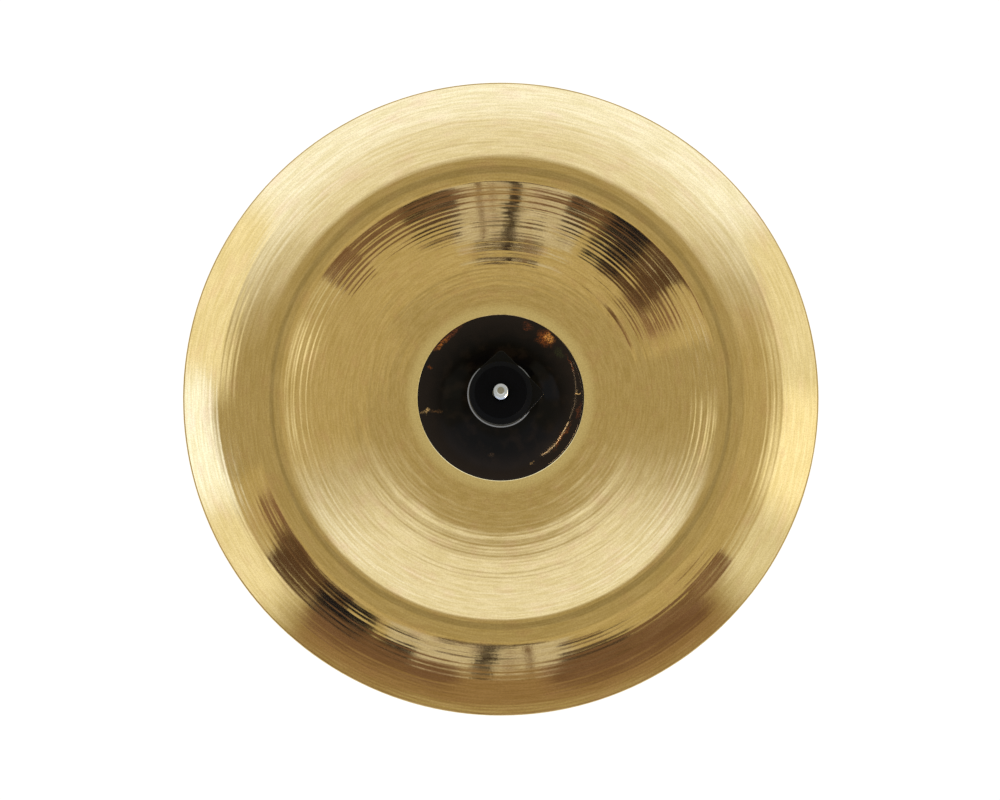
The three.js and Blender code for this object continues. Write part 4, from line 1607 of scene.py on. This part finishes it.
    def wing_outline(self, side: int) -> Outline:
        """Returns one wing's outline along X and Y, on the side 1 or -1 of the bolt."""
        start, reach = self.wing.low.x + self.wing_root, self.wing_reach
        root = self.hub_end_radius - self.wing_thickness / 2
        tip = start + self.wing_lean + self.wing_tip
        far, high = reach + self.wing_tip, tip + self.wing_tip
        last = self.wing.low.x + self.hub_height - self.wing_root
        stops = [
            ((root, start), (reach, start)),
            ((far, tip), (far, tip + self.wing_curve)),
            ((reach, high), (reach - self.wing_curve, high)),
            ((root, last), (root, last)),
        ]
        points: Outline = []
        for (here, bend), (there, _) in pairwise(stops):
            for share in [step / self.wing_steps for step in range(self.wing_steps)]:
                away, along = (blended(*places, share) for places in zip(here, bend, there))
                points.append((along, side * away))
        return [*points, (last, side * root)]

    def build_wing_nut(self) -> None:
        """Makes the wing nut."""
        low, high = self.wing.low.x, self.wing.low.x + self.hub_height
        hub = [(0.0, low), (self.hub_radius, low, 0.6), (self.hub_end_radius, high, 1.2), (0.0, high)]
        nut = turned("cast_wing_nut", hub, 96, Axis.X, self.axis_place)
        half = self.wing_thickness / 2
        for side in (-1, 1):
            blade = prism("wing", self.wing_outline(side), -half, half, at=self.axis_place)
            combine(nut, Joinery.ADD, rounded(blade, self.wing_edge, 5, 50))
        mouths = (self.nut_mouth, self.nut_mouth)
        hole = bore("nut_bore", self.bolt_bore, (low, high), 64, Axis.X, self.axis_place, mouths)
        combine(nut, Joinery.CUT, hole)
        deliver(nut, "wing_nut", "chrome", "wing_nut_body", CHROME)

    def build_stem(self) -> None:
        """Makes the stem and the pin that holds it in the collar."""
        radius, low, top, chamfer = self.stem.radius, self.stem.bottom, self.stem.top, self.stem_chamfer
        foot = [(0.0, low), (radius - chamfer, low), (radius, low + chamfer, 0.4)]
        stem = turned("round_stem", [*foot, (radius, top, 0.3), (0.0, top)], 96)
        combine(stem, Joinery.CUT, self.pin_hole())
        deliver(stem, "stem", "chrome", "stand_base", CHROME)
        radii, ends = (0.0, self.pin.radius), (self.pin.low.y, self.pin.high.y)
        pin = ring("cross_pin", radii, ends, (0.0, 0.5), 48, Axis.Y, self.pin_place)
        deliver(pin, "stem_pin", "steel", "stand_base", ZINC)

    def build(self) -> None:
        """Makes all pieces below the tilting head."""
        self.build_fork()
        self.build_bolt()
        self.build_wing_nut()
        self.build_stem()


# Studio


@dataclass(frozen=True)
class Panel:
    """A soft-edged patch of the light tent, in degrees round and down from straight above."""

    azimuth: Pair
    zenith: Pair
    colour: str
    level: float
    soft: float = 0.8
    fade: float = 0.4

    def share(self, azimuths: np.ndarray, zeniths: np.ndarray) -> np.ndarray:
        """Returns how much of the panel each direction sees, from 0 to 1."""
        first, last = self.azimuth
        off = np.abs((azimuths - (first + last) / 2 + 180) % 360 - 180)
        sideways = np.clip(((last - first) / 2 - off) / self.soft + 0.5, 0, 1)
        low, high = self.zenith
        down = np.clip((zeniths - low) / self.fade + 0.5, 0, 1)
        up = np.clip((high - zeniths) / self.fade + 0.5, 0, 1)
        both = sideways * np.minimum(down, up)
        return both * both * (3 - 2 * both)


AROUND = (-360.0, 360.0)
WARM, NEUTRAL, CLOUD, DAYLIGHT, SKY = "#FFF1C7", "#FCFFF9", "#F0F6FF", "#D3E0FF", "#CEDDFF"
PALE, BROWN, UMBER, BLACK, NIGHT = "#FFFCF8", "#FFDCB1", "#FFCDB4", "#FFDEE0", "#B8C0FF"


@dataclass
class Studio:
    """A light tent whose panels the plate mirrors, a pale floor and the camera."""

    camera_distance: float = 4.5
    elevation: float = 84.8
    lens: float = 289.6
    sensor: float = 36.0
    target: Vector = field(default_factory=lambda: Vector((-0.00045, -0.00112, 0.1231)))
    tent_radius: float = 20.0
    tent_centre: Vector = field(default_factory=lambda: Vector((0.0, 0.0, 0.12)))
    floor_z: float = -0.9
    floor_size: float = 80.0
    panels: tuple[Panel, ...] = (
        Panel(AROUND, (-5, 100), NEUTRAL, 0.85),
        Panel(AROUND, (-5, 46), WARM, 0.53, 1, 8),
        Panel(AROUND, (-5, 6.8), WARM, 0.41, 1, 3.5),
        Panel((27, 157), (23.6, 32), WARM, 0.65, 3, 0.6),
        Panel((135, 190), (20, 32), WARM, 0.62, 10, 3),
        Panel((200, 340), (16.4, 50), CLOUD, 1.27, 50, 6),
        Panel((200, 345), (25.5, 50), DAYLIGHT, 2.08, 34, 7),
        Panel((134, 160), (32, 42), NEUTRAL, 1.0, 10, 4),
        Panel((150, 176), (30, 44), NEUTRAL, 1.45, 10, 4),
        Panel((172, 205), (28.5, 44), NEUTRAL, 1.15, 10, 4),
        Panel((329, 369), (28, 44), NEUTRAL, 1.25, 12, 3),
        Panel((365, 392), (32, 44), SKY, 2.4, 8, 2.5),
        Panel((388, 410), (33, 42), NEUTRAL, 1.2, 10, 3),
        Panel((69, 103), (27, 33.4), PALE, 0.74, 2, 0.8),
        Panel((33, 41), (24.7, 27.9), UMBER, 0.28, 4, 1),
        Panel((40, 50), (25.2, 29.8), UMBER, 0.18, 4, 0.8),
        Panel((42, 61), (27.2, 33), UMBER, 0.12, 2),
        Panel((53.5, 66), (28.9, 33.6), NIGHT, 0.03, 1.5),
        Panel((64, 69), (31, 34), UMBER, 0.14),
        Panel((68, 74.5), (30.5, 34), BLACK, 0.05),
        Panel((78, 98), (26.0, 27.4), BLACK, 0.1, 0.5, 0.2),
        Panel((78, 93), (28, 28.8), BLACK, 0.12, 0.5, 0.2),
        Panel((86.4, 89.4), (26.6, 31), BLACK, 0.04, 0.4),
        Panel((85.3, 88.2), (30.6, 34.2), BLACK, 0.05, 0.4),
        Panel((94.2, 95.6), (28.2, 33.4), UMBER, 0.2, 0.4, 1.2),
        Panel((91, 92), (30.2, 33), UMBER, 0.25, 0.4),
        Panel((81.5, 83), (26.5, 28.6), UMBER, 0.2, 0.4),
        Panel((100.5, 114), (30.4, 33), BLACK, 0.06),
        Panel((101, 110), (29.6, 30.2), UMBER, 0.2, 0.8, 0.2),
        Panel((113, 128), (31.2, 32.9), UMBER, 0.2, 2),
        Panel((127, 137), (29.6, 32.8), UMBER, 0.24, 1, 0.8),
        Panel((54, 130), (33.4, 41.5), BROWN, 0.38, 6, 1.5),
        Panel((54, 83), (33, 37), UMBER, 0.22, 4, 2),
        Panel((98, 129), (32.5, 37.5), UMBER, 0.22, 4, 3),
        Panel((50, 130), (41.2, 44), WARM, 0.55, 6, 2),
    )

    def vault(self, name: str, zeniths: np.ndarray, turns: int) -> None:
        """Makes one part of the tent, whose light is painted on it direction by direction.

        Args:
            name: The part's name.
            zeniths: Its rings, in degrees down from straight above.
            turns: How many steps one turn has.
        """
        size = self.tent_radius
        line = [(size * math.sin(z), size * math.cos(z)) for z in np.radians(zeniths).tolist()]
        part = turned(name, line, turns, Axis.Z, self.tent_centre, closed=False)
        count = len(part.data.vertices)
        places = np.zeros(count * 3)
        part.data.vertices.foreach_get("co", places)
        places = (places.reshape(-1, 3) - np.array(self.tent_centre)) / size
        around = np.degrees(np.arctan2(places[:, 1], places[:, 0]))
        down = np.degrees(np.arccos(np.clip(places[:, 2], -1, 1)))
        light = np.ones((count, 4))
        for panel in self.panels:
            share = panel.share(around, down)[:, None]
            light = light * (1 - share) + np.array(linear(panel.colour)) * panel.level * share
        glow = part.data.color_attributes.new("glow", "FLOAT_COLOR", "POINT")
        glow.data.foreach_set("color", light.astype(np.float32).ravel())
        cloth = painted(name + "_cloth", self.glowing_cloth)
        cloth.cycles.emission_sampling = "NONE"
        part.data.materials.append(cloth)
        part.visible_camera = False
        part.visible_shadow = False

    @staticmethod
    def glowing_cloth(tree: Tree) -> Socket:
        """Adds the light that is painted on the tent."""
        return add_node(tree, "Emission", [add_node(tree, "Attribute", attribute_name="glow")])

    def strip(
        self, name: str, azimuths: Pair, zeniths: Pair, width: float, colour: str, level: float
    ) -> None:
        """Makes a strip light that runs round inside the tent and hangs straight down.

        Args:
            name: The strip's name.
            azimuths: Where it starts and ends round the object, in degrees.
            zeniths: Its upper edge's place down from straight above, at its start and its end.
            width: Its width, in degrees.
            colour: The colour of its light.
            level: Its strength, where 1 is white.
        """
        radius = self.tent_radius * 0.9
        count = 2 + round(abs(azimuths[1] - azimuths[0]) / 4)
        points = []
        for around, down in np.radians(np.linspace(*zip(azimuths, zeniths), count)).tolist():
            flat = radius * math.sin(down)
            point = (flat * math.cos(around), flat * math.sin(around), radius * math.cos(down))
            points.append(Vector(point) + self.tent_centre)
        start, end = math.radians(zeniths[0]), math.radians(zeniths[0] + width)
        drop = radius * (math.cos(start) - math.sin(start) / math.tan(end))
        piece = drawn(name, points)
        with editing(piece):
            bpy.ops.mesh.extrude_region_move(TRANSFORM_OT_translate={"value": (0, 0, -drop)})
        lamp = painted(name, lambda tree: add_node(tree, "Emission", [colour, level]))
        piece.data.materials.append(lamp)
        piece.visible_camera = False

    @staticmethod
    def floor_paint(tree: Tree) -> Socket:
        """Adds a pale paint that looks white and still takes the object's shadow."""
        rays = add_node(tree, "LightPath").node.outputs
        seen = rays["Is Camera Ray"]
        for kind in ("Is Glossy Ray", "Is Transmission Ray"):
            seen = add_node(tree, "Math", [seen, rays[kind]], operation="MAXIMUM")
        share = add_node(tree, "Math", [seen, 0.75], operation="MULTIPLY")
        paint = add_node(tree, "BsdfDiffuse", {"Color": "#F4F4F4", "Roughness": 0.5})
        white = add_node(tree, "Emission", {"Strength": 1.08})
        return add_node(tree, "MixShader", [share, paint, white])

    def floor(self) -> None:
        """Makes the floor."""
        bpy.ops.mesh.primitive_plane_add(size=self.floor_size, location=(0, 0, self.floor_z))
        floor = bpy.context.object
        floor.name = "studio_floor"
        floor.data.materials.append(painted("pale_floor_paint", self.floor_paint))

    def world(self) -> None:
        """Makes the white surroundings that the camera sees past the tent."""
        world = bpy.data.worlds.new("white_surroundings")
        bpy.context.scene.world = world
        world.use_nodes = True
        world.node_tree.nodes.clear()
        white = add_node(world.node_tree, "Background", ["#FFFFFF", 1.0])
        add_node(world.node_tree, "OutputWorld", [white])

    def camera(self) -> None:
        """Puts the camera where the photograph was taken from."""
        data = bpy.data.cameras.new("camera")
        data.lens = self.lens
        data.sensor_width = self.sensor
        data.clip_start = 0.1
        data.clip_end = 100
        camera = bpy.data.objects.new("camera", data)
        bpy.context.scene.collection.objects.link(camera)
        angle = math.radians(self.elevation)
        back = Vector((0, -math.cos(angle), math.sin(angle)))
        camera.location = self.target + back * self.camera_distance
        camera.rotation_euler = (-back).to_track_quat("-Z", "Y").to_euler()
        bpy.context.scene.camera = camera

    def build(self) -> None:
        """Makes the camera, the lights, the floor and the surroundings."""
        self.camera()
        self.vault("tent_roof", np.linspace(0, 46, 185), 720)
        self.vault("tent_wall", np.linspace(46, 95, 50), 180)
        self.strip("long_strip_light", (130, 338), (66.5, 66.5), 10.5, "#FFFFFF", 1.6)
        self.strip("near_strip_light", (309, 346), (49.2, 53.0), 0.6, "#FFE2B8", 150.0)
        self.strip("far_strip_light", (348, 392), (53.2, 62.0), 0.3, "#FFE8CC", 50.0)
        self.floor()
        self.world()
        bpy.context.scene.view_settings.view_transform = "Standard"


def main() -> None:
    """Builds the studio and the object, in order."""
    Studio().build()
    plate = CymbalPlate()
    plate.build()
    FeltStack().build(plate)
    RodGroup().build()
    ReleaseNut().build()
    TiltingHead().build()
    ForkedBase().build()


if __name__ == "__main__":
    main()
